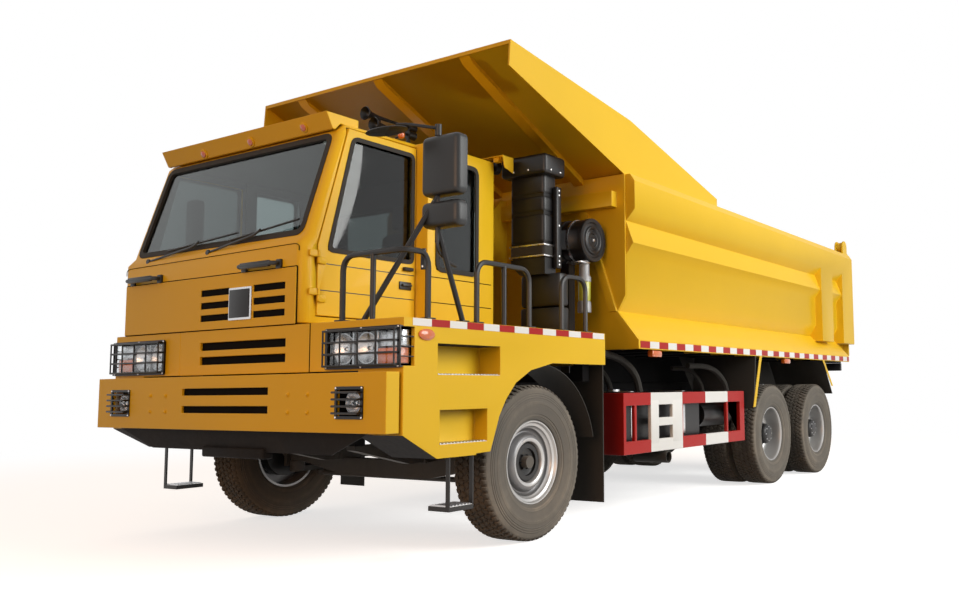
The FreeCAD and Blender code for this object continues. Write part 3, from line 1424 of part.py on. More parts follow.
def hoist_tube(number):
    """Its radius and its two ends along the hoist, with number 0 for the barrel."""
    outer = hoist_outer_radius - number * (hoist_tube_wall + hoist_tube_gap)
    start = hoist_foot + number * hoist_foot_step
    top = hoist_closed_length - hoist_head - (hoist_stages - number) * hoist_head_step
    return outer, start, top


def hoist_barrel():
    outer, start, top = hoist_tube(0)
    tube = cylinder_z(0, 0, -hoist_tail, top, outer)
    bore = cylinder_z(0, 0, start, top + overrun, outer - hoist_tube_wall)
    reach = rail_half_width - rail_wall - pin_gap
    pins = cylinder_x(-reach, reach, 0, 0, hoist_base_pin_radius)
    return along_hoist(join([tube.cut(bore), pins.cut(bore)]))


def hoist_stage(number):
    outer, start, top = hoist_tube(number)
    tube = cylinder_z(0, 0, start + seat_gap, top, outer)
    if number < hoist_stages:
        bore = cylinder_z(0, 0, start + hoist_foot_step, top + overrun, outer - hoist_tube_wall)
        return along_hoist(tube.cut(bore))
    half = hoist_eye_half - hoist_tube_gap
    eye = cylinder_x(-half, half, 0, hoist_closed_length, hoist_cheek_radius)
    neck = cylinder_z(0, 0, top, hoist_closed_length, hoist_cheek_radius)
    return along_hoist(join([tube, eye, neck]))


# Chassis pieces
write("chassis_frame", [frame()])
write("front_axle", [front_axle()])
write("driven_axles", [driven_axle(mid_axle_y), driven_axle(rear_axle_y)])
write("leaf_springs", both_sides(front_spring()) + bogie_springs())
write("engine_block", [engine()])
write("drive_line", drive_line())
write("radiator", [radiator()])
write("tanks", [fuel_tank(), air_tanks()])
write("battery_box", [mirrored(battery_box())])
write("muffler", [mirrored(muffler())])
write("side_guards", both_sides(side_guard()))
write("front_mudflaps", both_sides(mudflap()))

# Steering and wheels
write("knuckle_left", [knuckle()])
write("knuckle_right", [mirrored(knuckle())])
write("tie_rod", [tie_rod()])
front_tyre = tyre(wheel_centre_x, front_axle_y)
write("tyre_front_left", [front_tyre])
write("tyre_front_right", [mirrored(front_tyre)])
write("rim_front_left", [front_rim(front_axle_y)])
write("rim_front_right", [mirrored(front_rim(front_axle_y))])
for place, axle_y in (("mid", mid_axle_y), ("rear", rear_axle_y)):
    pair = [tyre(wheel_centre_x, axle_y), tyre(wheel_centre_x - twin_spacing, axle_y)]
    write("tyres_" + place + "_left", pair)
    write("tyres_" + place + "_right", [mirrored(one) for one in pair])
    write("rims_" + place + "_left", [twin_rim(axle_y)])
    write("rims_" + place + "_right", [mirrored(twin_rim(axle_y))])

# Cab
write("cab_shell", [cab_shell()])
write("cab_glass", cab_glass() + [screen_glass()])
left_door = door(cab_left_x - cab_wall, cab_left_x)
door_pane_x = cab_left_x - cab_wall / 2
door_pane = prism_x(door_window_outline(-seat_gap), door_pane_x, door_pane_x + glass_wall)
write("door_left", [left_door])
write("door_right", [across_cab(left_door)])
write("door_glass_left", [door_pane])
write("door_glass_right", [across_cab(door_pane)])
write("dashboard", [join([dashboard(), steering_wheel()])])
write("seats", [seat(driver_x), seat(mate_x)])
write("sun_visor", [visor()])
write("mirror_left", [mirror_left()])
write("mirror_right", [mirror_right()])

# Front and left deck
write("bumper", [bumper()])
write("front_apron", [apron()])
write("fenders", both_sides(fender()))
write("front_lamps", both_sides(headlamp()) + both_sides(fog_lamp()))
write("lamp_guards", both_sides(lamp_guard()) + [bar for one in fog_guard() for bar in both_sides(one)])
write("hanging_steps", both_sides(hanging_step()))
write("handrails", handrails())
write("intake_stack", [intake_stack()])
write("air_filter", [air_filter()])

# Dump bed
bed_side = join([side_wall(), gate_hinge_ears()] + skirt_ties())
write("bed_sides", both_sides(bed_side))
write("bed_front_wall", [bed_front()])
write("bed_floor", [bed_floor()])
write("canopy", [canopy()])
write("mudguards", mudguards())
write("tailgate", [tailgate()])
write("hoist_barrel", [hoist_barrel()])
for number in range(1, hoist_stages + 1):
    write("hoist_stage_" + str(number), [hoist_stage(number)])
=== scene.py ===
"""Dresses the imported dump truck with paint, tyres, rims, lamps, glass, tape and small fittings."""
import json
import math

import bmesh
import bpy
from bpy.props import FloatProperty, FloatVectorProperty, IntProperty, PointerProperty
from mathutils import Matrix, Vector


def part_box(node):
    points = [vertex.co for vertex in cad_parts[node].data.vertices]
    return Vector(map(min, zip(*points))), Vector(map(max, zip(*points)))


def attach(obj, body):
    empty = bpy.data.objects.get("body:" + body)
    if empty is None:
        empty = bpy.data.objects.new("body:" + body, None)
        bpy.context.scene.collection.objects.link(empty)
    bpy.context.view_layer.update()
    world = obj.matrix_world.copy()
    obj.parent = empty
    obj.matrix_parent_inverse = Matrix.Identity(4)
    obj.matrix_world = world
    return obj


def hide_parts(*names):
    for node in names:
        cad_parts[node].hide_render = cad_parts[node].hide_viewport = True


bl_info = {
    "name": "Dump truck",
    "version": (1, 0, 0),
    "blender": (4, 5, 0),
    "location": "View3D > Sidebar > Dump truck",
    "description": "Dresses a heavy dump truck with paint, tyres, lamps, glass and fittings",
    "category": "Object",
}

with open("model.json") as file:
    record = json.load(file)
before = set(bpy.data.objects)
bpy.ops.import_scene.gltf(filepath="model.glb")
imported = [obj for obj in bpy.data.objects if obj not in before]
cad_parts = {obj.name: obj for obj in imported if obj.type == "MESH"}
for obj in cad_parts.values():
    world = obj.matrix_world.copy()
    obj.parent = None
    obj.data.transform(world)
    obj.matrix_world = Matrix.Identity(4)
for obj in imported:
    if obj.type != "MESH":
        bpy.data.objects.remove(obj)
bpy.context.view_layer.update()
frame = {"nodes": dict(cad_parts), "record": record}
front_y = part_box("bumper")[0].y
record = frame["record"]
body_of = {node: body for body, nodes in record["behaviour"]["bodies"].items() for node in nodes}
X_AXIS = Vector((1, 0, 0))
Y_AXIS = Vector((0, 1, 0))
Z_AXIS = Vector((0, 0, 1))
both = (1, -1)


def spot(x, y, z):
    """A point in metres, with y counted back from the bumper's face."""
    return Vector((x, front_y + y, z))


# Sizes and colours that a user would change
class TruckPaints(bpy.types.PropertyGroup):
    """Colours of the truck's finishes"""
    yellow: FloatVectorProperty(name="Yellow", description="Body paint", subtype="COLOR",
                                default=(0.80, 0.50, 0.014), min=0.0, max=1.0)
    black: FloatVectorProperty(name="Black", description="Frame and rail paint", subtype="COLOR",
                               default=(0.009, 0.009, 0.010), min=0.0, max=1.0)
    red: FloatVectorProperty(name="Red", description="Side guard and hoist paint", subtype="COLOR",
                             default=(0.40, 0.010, 0.008), min=0.0, max=1.0)
    white: FloatVectorProperty(name="White", description="Side guard and tape white", subtype="COLOR",
                               default=(0.80, 0.80, 0.78), min=0.0, max=1.0)
    rubber: FloatVectorProperty(name="Rubber", description="Tread rubber", subtype="COLOR",
                                default=(0.035, 0.033, 0.030), min=0.0, max=1.0)
    dusty_rubber: FloatVectorProperty(name="Dusty rubber", description="Dusty tyre walls", subtype="COLOR",
                                      default=(0.110, 0.103, 0.092), min=0.0, max=1.0)
    silver: FloatVectorProperty(name="Silver", description="Rim paint", subtype="COLOR",
                                default=(0.46, 0.46, 0.46), min=0.0, max=1.0)
    plastic: FloatVectorProperty(name="Plastic", description="Mirror shells and trim", subtype="COLOR",
                                 default=(0.015, 0.017, 0.019), min=0.0, max=1.0)
    dust: FloatVectorProperty(name="Dust", description="Road dust", subtype="COLOR",
                              default=(0.34, 0.29, 0.23), min=0.0, max=1.0)


class TruckSizes(bpy.types.PropertyGroup):
    """Sizes of the small forms that the looks add"""
    edge: FloatProperty(name="Edge", description="Rounding of sheet edges", default=0.005, unit="LENGTH")
    tape: FloatProperty(name="Tape", description="Length of one piece of tape", default=0.163, unit="LENGTH")
    tread: FloatProperty(name="Tread", description="Depth of the tread", default=0.015, unit="LENGTH")
    lugs: IntProperty(name="Lugs", description="Tread blocks round a tyre", default=72, min=12)
    rail: FloatProperty(name="Rail", description="Radius of a handrail's tube", default=0.019, unit="LENGTH")


def paints():
    return bpy.context.scene.truck_paints


def sizes():
    return bpy.context.scene.truck_sizes


# Materials
def socket(group, name, kind, way, value=None):
    made = group.interface.new_socket(name=name, in_out=way, socket_type=kind)
    if value is not None:
        made.default_value = value
    return made


def link(tree, out, into):
    tree.links.new(out, into)


def node(tree, kind, **values):
    made = tree.nodes.new(kind)
    for key, value in values.items():
        setattr(made, key, value)
    return made


def maths(tree, operation, first, second=None, clamp=False):
    made = node(tree, "ShaderNodeMath", operation=operation, use_clamp=clamp)
    for place, value in enumerate((first, second)):
        if value is None:
            continue
        if isinstance(value, (int, float)):
            made.inputs[place].default_value = value
        else:
            link(tree, value, made.inputs[place])
    return made.outputs[0]


def noise(tree, vector, scale, detail=4.0, roughness=0.55):
    made = node(tree, "ShaderNodeTexNoise")
    made.inputs["Scale"].default_value = scale
    made.inputs["Detail"].default_value = detail
    made.inputs["Roughness"].default_value = roughness
    link(tree, vector, made.inputs["Vector"])
    return made.outputs["Fac"]


def span(tree, value, low, high, to_low=0.0, to_high=1.0):
    made = node(tree, "ShaderNodeMapRange", interpolation_type="SMOOTHSTEP")
    made.inputs["From Min"].default_value = low
    made.inputs["From Max"].default_value = high
    made.inputs["To Min"].default_value = to_low
    made.inputs["To Max"].default_value = to_high
    link(tree, value, made.inputs["Value"])
    return made.outputs["Result"]


def weather_group():
    """Colour, roughness and height of a finish with tone changes, streaks and dust."""
    name = "weathering"
    if name in bpy.data.node_groups:
        return bpy.data.node_groups[name]
    group = bpy.data.node_groups.new(name, "ShaderNodeTree")
    socket(group, "Colour", "NodeSocketColor", "INPUT")
    socket(group, "Dust Colour", "NodeSocketColor", "INPUT")
    socket(group, "Dust", "NodeSocketFloat", "INPUT", 0.3)
    socket(group, "Tone", "NodeSocketFloat", "INPUT", 0.06)
    socket(group, "Roughness", "NodeSocketFloat", "INPUT", 0.4)
    socket(group, "Grain", "NodeSocketFloat", "INPUT", 40.0)
    socket(group, "Colour", "NodeSocketColor", "OUTPUT")
    socket(group, "Roughness", "NodeSocketFloat", "OUTPUT")
    socket(group, "Height", "NodeSocketFloat", "OUTPUT")
    inputs = node(group, "NodeGroupInput").outputs
    outputs = node(group, "NodeGroupOutput").inputs
    place = node(group, "ShaderNodeTexCoord").outputs["Object"]
    split = node(group, "ShaderNodeSeparateXYZ")
    link(group, place, split.inputs[0])
    normal = node(group, "ShaderNodeNewGeometry").outputs["Normal"]
    facing = node(group, "ShaderNodeSeparateXYZ")
    link(group, normal, facing.inputs[0])
    wide = noise(group, place, 1.3, 5.0)
    fine_noise = node(group, "ShaderNodeTexNoise")
    fine_noise.inputs["Detail"].default_value = 6.0
    link(group, place, fine_noise.inputs["Vector"])
    link(group, inputs["Grain"], fine_noise.inputs["Scale"])
    fine = fine_noise.outputs["Fac"]
    drawn = node(group, "ShaderNodeMapping")
    drawn.inputs["Scale"].default_value = (9.0, 9.0, 0.7)
    link(group, place, drawn.inputs["Vector"])
    streaks = span(group, noise(group, drawn.outputs[0], 1.0, 5.0, 0.65), 0.50, 0.78)
    low = span(group, split.outputs["Z"], 0.2, 1.9, 1.0, 0.0)
    ledge = span(group, facing.outputs["Z"], 0.4, 1.0)
    patches = span(group, noise(group, place, 3.1, 7.0, 0.6), 0.38, 0.72)
    gathered = maths(group, "ADD", maths(group, "MULTIPLY", low, 0.55), maths(group, "MULTIPLY", ledge, 0.45))
    gathered = maths(group, "ADD", gathered, maths(group, "MULTIPLY", streaks, 0.22))
    patchy = maths(group, "ADD", maths(group, "MULTIPLY", patches, 0.7), 0.35)
    gathered = maths(group, "MULTIPLY", gathered, patchy)
    gathered = maths(group, "ADD", gathered, maths(group, "MULTIPLY", fine, 0.06))
    mask = maths(group, "MULTIPLY", gathered, inputs["Dust"], True)
    strength = maths(group, "MULTIPLY", inputs["Tone"], 4.0)
    tone = maths(group, "MULTIPLY", maths(group, "SUBTRACT", wide, 0.5), strength)
    shade = node(group, "ShaderNodeHueSaturation")
    link(group, maths(group, "ADD", tone, 1.0), shade.inputs["Value"])
    link(group, inputs["Colour"], shade.inputs["Color"])
    mix = node(group, "ShaderNodeMix", data_type="RGBA")
    link(group, mask, mix.inputs[0])
    link(group, shade.outputs[0], mix.inputs[6])
    link(group, inputs["Dust Colour"], mix.inputs[7])
    link(group, mix.outputs[2], outputs["Colour"])
    rough = maths(group, "ADD", inputs["Roughness"], maths(group, "MULTIPLY", mask, 0.45))
    grainy = maths(group, "MULTIPLY", maths(group, "SUBTRACT", fine, 0.5), 0.16)
    rough = maths(group, "ADD", rough, grainy, True)
    link(group, rough, outputs["Roughness"])
    link(group, maths(group, "ADD", fine, maths(group, "MULTIPLY", patches, 0.4)), outputs["Height"])
    return group


def opaque(colour):
    """The colour with its alpha at 1."""
    return (colour[0], colour[1], colour[2], 1.0)


def finish_material(name, colour, roughness, dust=0.3, tone=0.05, grain=40.0, bump=0.15, **shader):
    """A material whose colour, roughness and relief come from the weathering group."""
    made = bpy.data.materials.new(name)
    made.use_nodes = True
    tree = made.node_tree
    surface = tree.nodes["Principled BSDF"]
    for key, value in shader.items():
        surface.inputs[key.replace("_", " ").title().replace("Ior", "IOR")].default_value = value
    worn = node(tree, "ShaderNodeGroup")
    worn.node_tree = weather_group()
    worn.inputs["Colour"].default_value = opaque(colour)
    worn.inputs["Dust Colour"].default_value = opaque(paints().dust)
    worn.inputs["Dust"].default_value = dust
    worn.inputs["Tone"].default_value = tone
    worn.inputs["Roughness"].default_value = roughness
    worn.inputs["Grain"].default_value = grain
    link(tree, worn.outputs["Colour"], surface.inputs["Base Color"])
    link(tree, worn.outputs["Roughness"], surface.inputs["Roughness"])
    relief = node(tree, "ShaderNodeBump")
    relief.inputs["Strength"].default_value = bump
    relief.inputs["Distance"].default_value = 0.002
    link(tree, worn.outputs["Height"], relief.inputs["Height"])
    link(tree, relief.outputs["Normal"], surface.inputs["Normal"])
    return made


def glass_material(name, colour, roughness):
    made = bpy.data.materials.new(name)
    made.use_nodes = True
    tree = made.node_tree
    surface = tree.nodes["Principled BSDF"]
    surface.inputs["Base Color"].default_value = opaque(colour)
    surface.inputs["Transmission Weight"].default_value = 1.0
    surface.inputs["IOR"].default_value = 1.45
    place = node(tree, "ShaderNodeTexCoord").outputs["Object"]
    smear = noise(tree, place, 6.0, 5.0)
    link(tree, span(tree, smear, 0.35, 0.8, roughness, roughness + 0.05), surface.inputs["Roughness"])
    return made


def lens_material(name, colour, strength):
    """Ribbed coloured plastic of a lamp."""
    made = finish_material(name, colour, 0.18, dust=0.15, tone=0.03, grain=60.0, bump=0.1, coat_weight=0.6)
    tree = made.node_tree
    surface = tree.nodes["Principled BSDF"]
    surface.inputs["Emission Color"].default_value = opaque(colour)
    surface.inputs["Emission Strength"].default_value = strength
    place = node(tree, "ShaderNodeTexCoord").outputs["Object"]
    ribs = node(tree, "ShaderNodeTexWave", wave_type="BANDS", bands_direction="X")
    ribs.inputs["Scale"].default_value = 45.0
    link(tree, place, ribs.inputs["Vector"])
    relief = [one for one in tree.nodes if one.type == "BUMP"][0]
    link(tree, ribs.outputs["Fac"], relief.inputs["Height"])
    return made


def weave_material(name, colour):
    made = finish_material(name, colour, 0.85, dust=0.2, tone=0.1, grain=180.0, bump=0.4, sheen_weight=0.3)
    tree = made.node_tree
    place = node(tree, "ShaderNodeTexCoord").outputs["Object"]
    warp = node(tree, "ShaderNodeTexWave", wave_type="BANDS", bands_direction="X")
    weft = node(tree, "ShaderNodeTexWave", wave_type="BANDS", bands_direction="Z")
    for one in (warp, weft):
        one.inputs["Scale"].default_value = 150.0
        link(tree, place, one.inputs["Vector"])
    relief = [one for one in tree.nodes if one.type == "BUMP"][0]
    link(tree, maths(tree, "MULTIPLY", warp.outputs["Fac"], weft.outputs["Fac"]), relief.inputs["Height"])
    return made


# Each finish has its own colour or the name of one of the truck's paints
finishes = {
    "yellow": dict(colour="yellow", roughness=0.42, dust=0.06, tone=0.025, grain=55.0, bump=0.05,
                   specular_ior_level=0.22, coat_weight=0.06),
    "bed_inside": dict(colour="yellow", roughness=0.55, dust=0.75, tone=0.08, grain=30.0, bump=0.25),
    "black": dict(colour="black", roughness=0.36, dust=0.03, tone=0.08, grain=70.0, bump=0.08,
                  specular_ior_level=0.35),
    # The frame's black, also used as painted shade under the fenders and the bed.
    "frame_black": dict(colour="black", roughness=0.7, dust=0.05, tone=0.1, grain=35.0, bump=0.3,
                        specular_ior_level=0.1),
    "red": dict(colour="red", roughness=0.38, dust=0.05, tone=0.05, bump=0.06, specular_ior_level=0.2),
    "white": dict(colour="white", roughness=0.4, dust=0.12, tone=0.03, bump=0.05),
    "tape_red": dict(colour="red", roughness=0.35, dust=0.04, tone=0.05, grain=120.0, bump=0.15,
                     specular_ior_level=0.2),
    "tape_white": dict(colour="white", roughness=0.3, dust=0.08, tone=0.03, grain=120.0, bump=0.15,
                       coat_weight=0.4),
    "tread": dict(colour="rubber", roughness=0.85, dust=0.85, tone=0.12, grain=60.0, bump=0.5),
    "tyre_wall": dict(colour="dusty_rubber", roughness=0.9, dust=0.16, tone=0.14, grain=38.0, bump=0.5),
    # Rubber, also used for the dark sheets of painted shade under the bed.
    "rubber": dict(colour="rubber", roughness=0.7, dust=0.06, tone=0.1, grain=50.0, bump=0.25,
                   specular_ior_level=0.2),
    "silver": dict(colour="silver", roughness=0.34, dust=0.22, tone=0.07, grain=60.0, bump=0.12,
                   metallic=0.6),
    # Darker metal for the front rims' well: painted shade in the groove, with dust.
    "worn": dict(colour=(0.16, 0.16, 0.165), roughness=0.34, dust=0.15, tone=0.1, grain=60.0, bump=0.12,
                 metallic=0.6),
    "steel": dict(colour=(0.62, 0.62, 0.63), roughness=0.28, dust=0.08, tone=0.05, grain=90.0, bump=0.06,
                  metallic=1.0),
    "reflector": dict(colour=(0.55, 0.55, 0.56), roughness=0.24, dust=0.05, tone=0.1, grain=26.0, bump=0.5,
                      metallic=1.0),
    "mirror": dict(colour=(0.75, 0.77, 0.78), roughness=0.03, dust=0.03, tone=0.02, bump=0.0, metallic=1.0),
    "iron": dict(colour=(0.06, 0.055, 0.05), roughness=0.7, dust=0.35, tone=0.12, grain=30.0, bump=0.5),
    "grey": dict(colour=(0.26, 0.265, 0.27), roughness=0.5, dust=0.25, tone=0.08, bump=0.15, metallic=0.4),
    # Dark plastic, also used for the painted shade of the doors' grooves.
    "plastic": dict(colour="plastic", roughness=0.4, dust=0.03, tone=0.05, grain=140.0, bump=0.2,
                    specular_ior_level=0.4),
    "dark": dict(colour=(0.006, 0.006, 0.006), roughness=0.9, dust=0.02, tone=0.1, bump=0.1,
                 specular_ior_level=0.05),
    "lining": dict(colour=(0.10, 0.10, 0.098), roughness=0.75, dust=0.1, tone=0.08, grain=120.0, bump=0.3),
    "bowl": dict(colour=(0.42, 0.44, 0.04), roughness=0.3, dust=0.1, tone=0.05, bump=0.05, coat_weight=0.5),
}
glasses = {
    "glass": dict(colour=(0.36, 0.42, 0.42), roughness=0.01),
    # Dark glass for the doors' windows: painted dark reflection.
    "dark_glass": dict(colour=(0.10, 0.12, 0.12), roughness=0.01),
    "lens": dict(colour=(0.92, 0.94, 0.95), roughness=0.04),
}
lamp_plastics = {
    "amber": dict(colour=(0.62, 0.12, 0.006), strength=0.05),
    "red_lens": dict(colour=(0.5, 0.01, 0.008), strength=0.05),
}
seat_cloth = (0.07, 0.075, 0.085)


def tyre_wall_material(name, values):
    """The wall's rubber, with more dust on some of its rings."""
    made = finish_material(name, **values)
    tree = made.node_tree
    ring = node(tree, "ShaderNodeAttribute", attribute_name="ring")
    worn = [one for one in tree.nodes if one.type == "GROUP"][0]
    amount = maths(tree, "ADD", maths(tree, "MULTIPLY", ring.outputs["Fac"], 1.1), 0.05)
    link(tree, amount, worn.inputs["Dust"])
    return made


def build_material(name):
    if name == "fabric":
        return weave_material(name, seat_cloth)
    if name in glasses:
        return glass_material(name, **glasses[name])
    if name in lamp_plastics:
        return lens_material(name, **lamp_plastics[name])
    values = dict(finishes[name])
    if isinstance(values["colour"], str):
        values["colour"] = getattr(paints(), values["colour"])
    if name == "tyre_wall":
        return tyre_wall_material(name, values)
    return finish_material(name, **values)


def material(name):
    if name not in bpy.data.materials:
        build_material(name)
    return bpy.data.materials[name]


# Modelling helpers
def add_box(bm, low, high, index=0):
    """A box between two corners."""
    made = bmesh.ops.create_cube(bm, size=1.0)["verts"]
    low, high = Vector(low), Vector(high)
    bmesh.ops.scale(bm, vec=high - low, verts=made)
    bmesh.ops.translate(bm, vec=(low + high) / 2, verts=made)
    paint_faces(made, index)
    return made


def paint_faces(verts, index):
    for face in {face for vert in verts for face in vert.link_faces}:
        face.material_index = index


def line_place(start, end):
    """The matrix that stands a shape built along Z between two points."""
    start, end = Vector(start), Vector(end)
    turn = (end - start).to_track_quat("Z", "Y").to_matrix().to_4x4()
    return Matrix.Translation((start + end) / 2) @ turn


def add_rod(bm, start, end, radius, sides=16, index=0, tip=None):
    """A round bar between two points, or a cone where the tip's radius differs."""
    length = (Vector(end) - Vector(start)).length
    made = bmesh.ops.create_cone(bm, cap_ends=True, segments=sides, radius1=radius,
                                 radius2=radius if tip is None else tip, depth=length,
                                 matrix=line_place(start, end))["verts"]
    paint_faces(made, index)
    return made


def add_turned(bm, profile, centre, axis, steps=40, index=0, looped=False):
    """Turns a section of (along, radius) points about an axis through the centre."""
    axis = Vector(axis).normalized()
    out = axis.orthogonal().normalized()
    verts = [bm.verts.new(Vector(centre) + axis * along + out * radius) for along, radius in profile]
    edges = [bm.edges.new(pair) for pair in zip(verts, verts[1:])]
    if looped:
        edges.append(bm.edges.new((verts[-1], verts[0])))
    before = set(bm.faces)
    bmesh.ops.spin(bm, geom=verts + edges, cent=centre, axis=axis, angle=math.tau, steps=steps,
                   use_merge=True)
    made = [face for face in bm.faces if face not in before]
    for face in made:
        face.material_index = index
    found = list({vert for face in made for vert in face.verts})
    bmesh.ops.remove_doubles(bm, verts=found, dist=0.00002)
    return [face for face in bm.faces if face not in before]


def add_prism(bm, outline, reach, index=0):
    """A face through the points, pulled along a vector."""
    verts = [bm.verts.new(point) for point in outline]
    face = bm.faces.new(verts)
    made = bmesh.ops.extrude_face_region(bm, geom=[face])["geom"]
    moved = [one for one in made if isinstance(one, bmesh.types.BMVert)]
    bmesh.ops.translate(bm, vec=Vector(reach), verts=moved)
    paint_faces(verts + moved, index)
    return verts + moved


def corner_loop(corners, inset, radius, steps=5):
    """Points of a flat outline, moved inwards, with rounded corners."""
    points = []
    count = len(corners)
    for place in range(count):
        here, after, before = corners[place], corners[(place + 1) % count], corners[place - 1]
        to_next = (after - here).normalized()
        to_last = (before - here).normalized()
        corner = here + (to_next + to_last) * inset / to_next.cross(to_last).length
        for step in range(steps + 1):
            share = step / steps
            a = corner + to_last * radius * (1 - share)
            b = corner + to_next * radius * share
            points.append(a.lerp(b, share))
    return points


least_corner = 0.01


def add_ring(bm, corners, inset, radius, width, reach, index=0):
    """A rounded frame in the plane of the corners, pulled along a vector."""
    loops = []
    for more in (0.0, width):
        outline = corner_loop(corners, inset + more, max(radius - more, least_corner))
        verts = [bm.verts.new(point) for point in outline]
        loops += [bm.edges.new(pair) for pair in zip(verts, verts[1:] + verts[:1])]
    faces = bmesh.ops.bridge_loops(bm, edges=loops)["faces"]
    made = bmesh.ops.extrude_face_region(bm, geom=faces)["geom"]
    moved = [one for one in made if isinstance(one, bmesh.types.BMVert)]
    bmesh.ops.translate(bm, vec=Vector(reach), verts=moved)
    paint_faces(moved + [vert for edge in loops if edge.is_valid for vert in edge.verts], index)


def add_pane(bm, corners, inset, radius, reach, index=0):
    """A rounded plate in the plane of the corners."""
    return add_prism(bm, corner_loop(corners, inset, radius), reach, index)


def add_pipe(bm, points, radius, bend=0.07, index=0):
    """A round tube along straight runs with rounded bends."""
    curve = bpy.data.curves.new("pipe", "CURVE")
    curve.dimensions = "3D"
    curve.bevel_depth = radius
    curve.bevel_resolution = 2
    curve.use_fill_caps = True
    curve.resolution_u = 5
    knots = [(Vector(points[0]), Vector(points[1]))]
    for before, here, after in zip(points, points[1:], points[2:]):
        before, here, after = Vector(before), Vector(here), Vector(after)
        for other in (before, after):
            way = other - here
            cut = min(bend, way.length * 0.45)
            knots.append((here + way.normalized() * cut, here))
    knots.append((Vector(points[-1]), Vector(points[-2])))
    spline = curve.splines.new("BEZIER")
    spline.bezier_points.add(len(knots) - 1)
    for place, (knot, (where, towards)) in enumerate(zip(spline.bezier_points, knots)):
        knot.co = where
        knot.handle_left_type = knot.handle_right_type = "FREE"
        pull = where.lerp(towards, 0.55)
        arrives = place % 2 == 1
        knot.handle_right = pull if arrives else where
        knot.handle_left = where if arrives else pull
        if place in (0, len(knots) - 1):
            knot.handle_left = knot.handle_right = where
    holder = bpy.data.objects.new("pipe", curve)
    bpy.context.scene.collection.objects.link(holder)
    bpy.context.view_layer.update()
    mesh = bpy.data.meshes.new_from_object(holder.evaluated_get(bpy.context.evaluated_depsgraph_get()))
    before = set(bm.verts)
    bm.from_mesh(mesh)
    made = [vert for vert in bm.verts if vert not in before]
    bmesh.ops.remove_doubles(bm, verts=made, dist=0.0001)
    made = [vert for vert in bm.verts if vert not in before]
    paint_faces(made, index)
    bpy.data.objects.remove(holder)
    bpy.data.curves.remove(curve)
    bpy.data.meshes.remove(mesh)
    return made


def soften(bm, width, segments=2, angle=35.0, verts=None):
    """Bevels the sharp edges, or only those between the given points."""
    wanted = set(verts) if verts is not None else None
    edges = [edge for edge in bm.edges if len(edge.link_faces) == 2
             and edge.calc_face_angle(0.0) > math.radians(angle)
             and (wanted is None or all(vert in wanted for vert in edge.verts))]
    bmesh.ops.bevel(bm, geom=edges, offset=width, offset_type="OFFSET", segments=segments, profile=0.5,
                    affect="EDGES", clamp_overlap=True, material=-1)


def join_in(bm, part):
    """Adds a finished mesh to another and frees it."""
    mesh = bpy.data.meshes.new("part")
    part.to_mesh(mesh)
    part.free()
    bm.from_mesh(mesh)
    bpy.data.meshes.remove(mesh)


def add_block(bm, low, high, width, index=0, segments=2):
    """A box with rounded edges."""
    made = add_box(bm, low, high, index)
    edges = list({edge for vert in made for edge in vert.link_edges})
    bmesh.ops.bevel(bm, geom=edges, offset=width, offset_type="OFFSET", segments=segments, profile=0.5,
                    affect="EDGES", clamp_overlap=True, material=-1)


def add_nut(bm, place, way, radius=0.014, height=0.014, index=0):
    """A hexagon nut with the end of its stud."""
    way = Vector(way).normalized()
    add_rod(bm, place, Vector(place) + way * height, radius, 6, index)
    add_rod(bm, place, Vector(place) + way * height * 1.7, radius * 0.55, 8, index)


def add_dome(bm, place, way, radius, index=0):
    """A round bolt head."""
    shares = ((0.0, 1.0), (0.35, 0.92), (0.6, 0.6), (0.7, 0.0))
    profile = [(radius * along, radius * out) for along, out in shares]
    add_turned(bm, profile, place, way, 12, index)


def finish(name, bm, body, looks, replaces=(), sharp=38.0, edge=0.0, turn=True):
    """Makes the shape a piece that rides on a body."""
    if turn:
        bmesh.ops.recalc_face_normals(bm, faces=bm.faces)
    mesh = bpy.data.meshes.new(name)
    bm.to_mesh(mesh)
    bm.free()
    mesh.polygons.foreach_set("use_smooth", [True] * len(mesh.polygons))
    mesh.set_sharp_from_angle(angle=math.radians(sharp))
    for one in looks:
        mesh.materials.append(material(one))
    made = bpy.data.objects.new(name, mesh)
    bpy.context.scene.collection.objects.link(made)
    if edge:
        bevel = made.modifiers.new("edges", "BEVEL")
        bevel.width = edge
        bevel.segments = 2
        bevel.limit_method = "ANGLE"
        bevel.angle_limit = math.radians(45.0)
        bevel.harden_normals = True
        bevel.use_clamp_overlap = False
    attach(made, body)
    if replaces:
        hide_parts(*replaces)
    return made


def copy_of(name, joined=True):
    """A node's own mesh with its doubles merged and, unless it has windows, its flat faces joined."""
    bm = bmesh.new()
    bm.from_mesh(frame["nodes"][name].data)
    for face in bm.faces:
        face.material_index = 0
    bmesh.ops.remove_doubles(bm, verts=bm.verts, dist=0.00005)
    if joined:
        bmesh.ops.dissolve_limit(bm, angle_limit=math.radians(0.6), verts=bm.verts, edges=bm.edges)
    return bm


def dress(name, looks, edge=0.0, choose=None, joined=True):
    """Stands a copy of a CAD node for it, with its finishes and rounded edges."""
    bm = copy_of(name, joined)
    if choose:
        for face in bm.faces:
            face.material_index = choose(face)
    return finish(name + "_skin", bm, body_of[name], looks, (name,), edge=edge, turn=False)


# Stage
def seen_directly(tree):
    """1 for the camera, mirrors and glass, and 0 for light that bounces about."""
    path = node(tree, "ShaderNodeLightPath")
    through = maths(tree, "MAXIMUM", path.outputs["Is Glossy Ray"], path.outputs["Is Transmission Ray"])
    return maths(tree, "MAXIMUM", path.outputs["Is Camera Ray"], through)


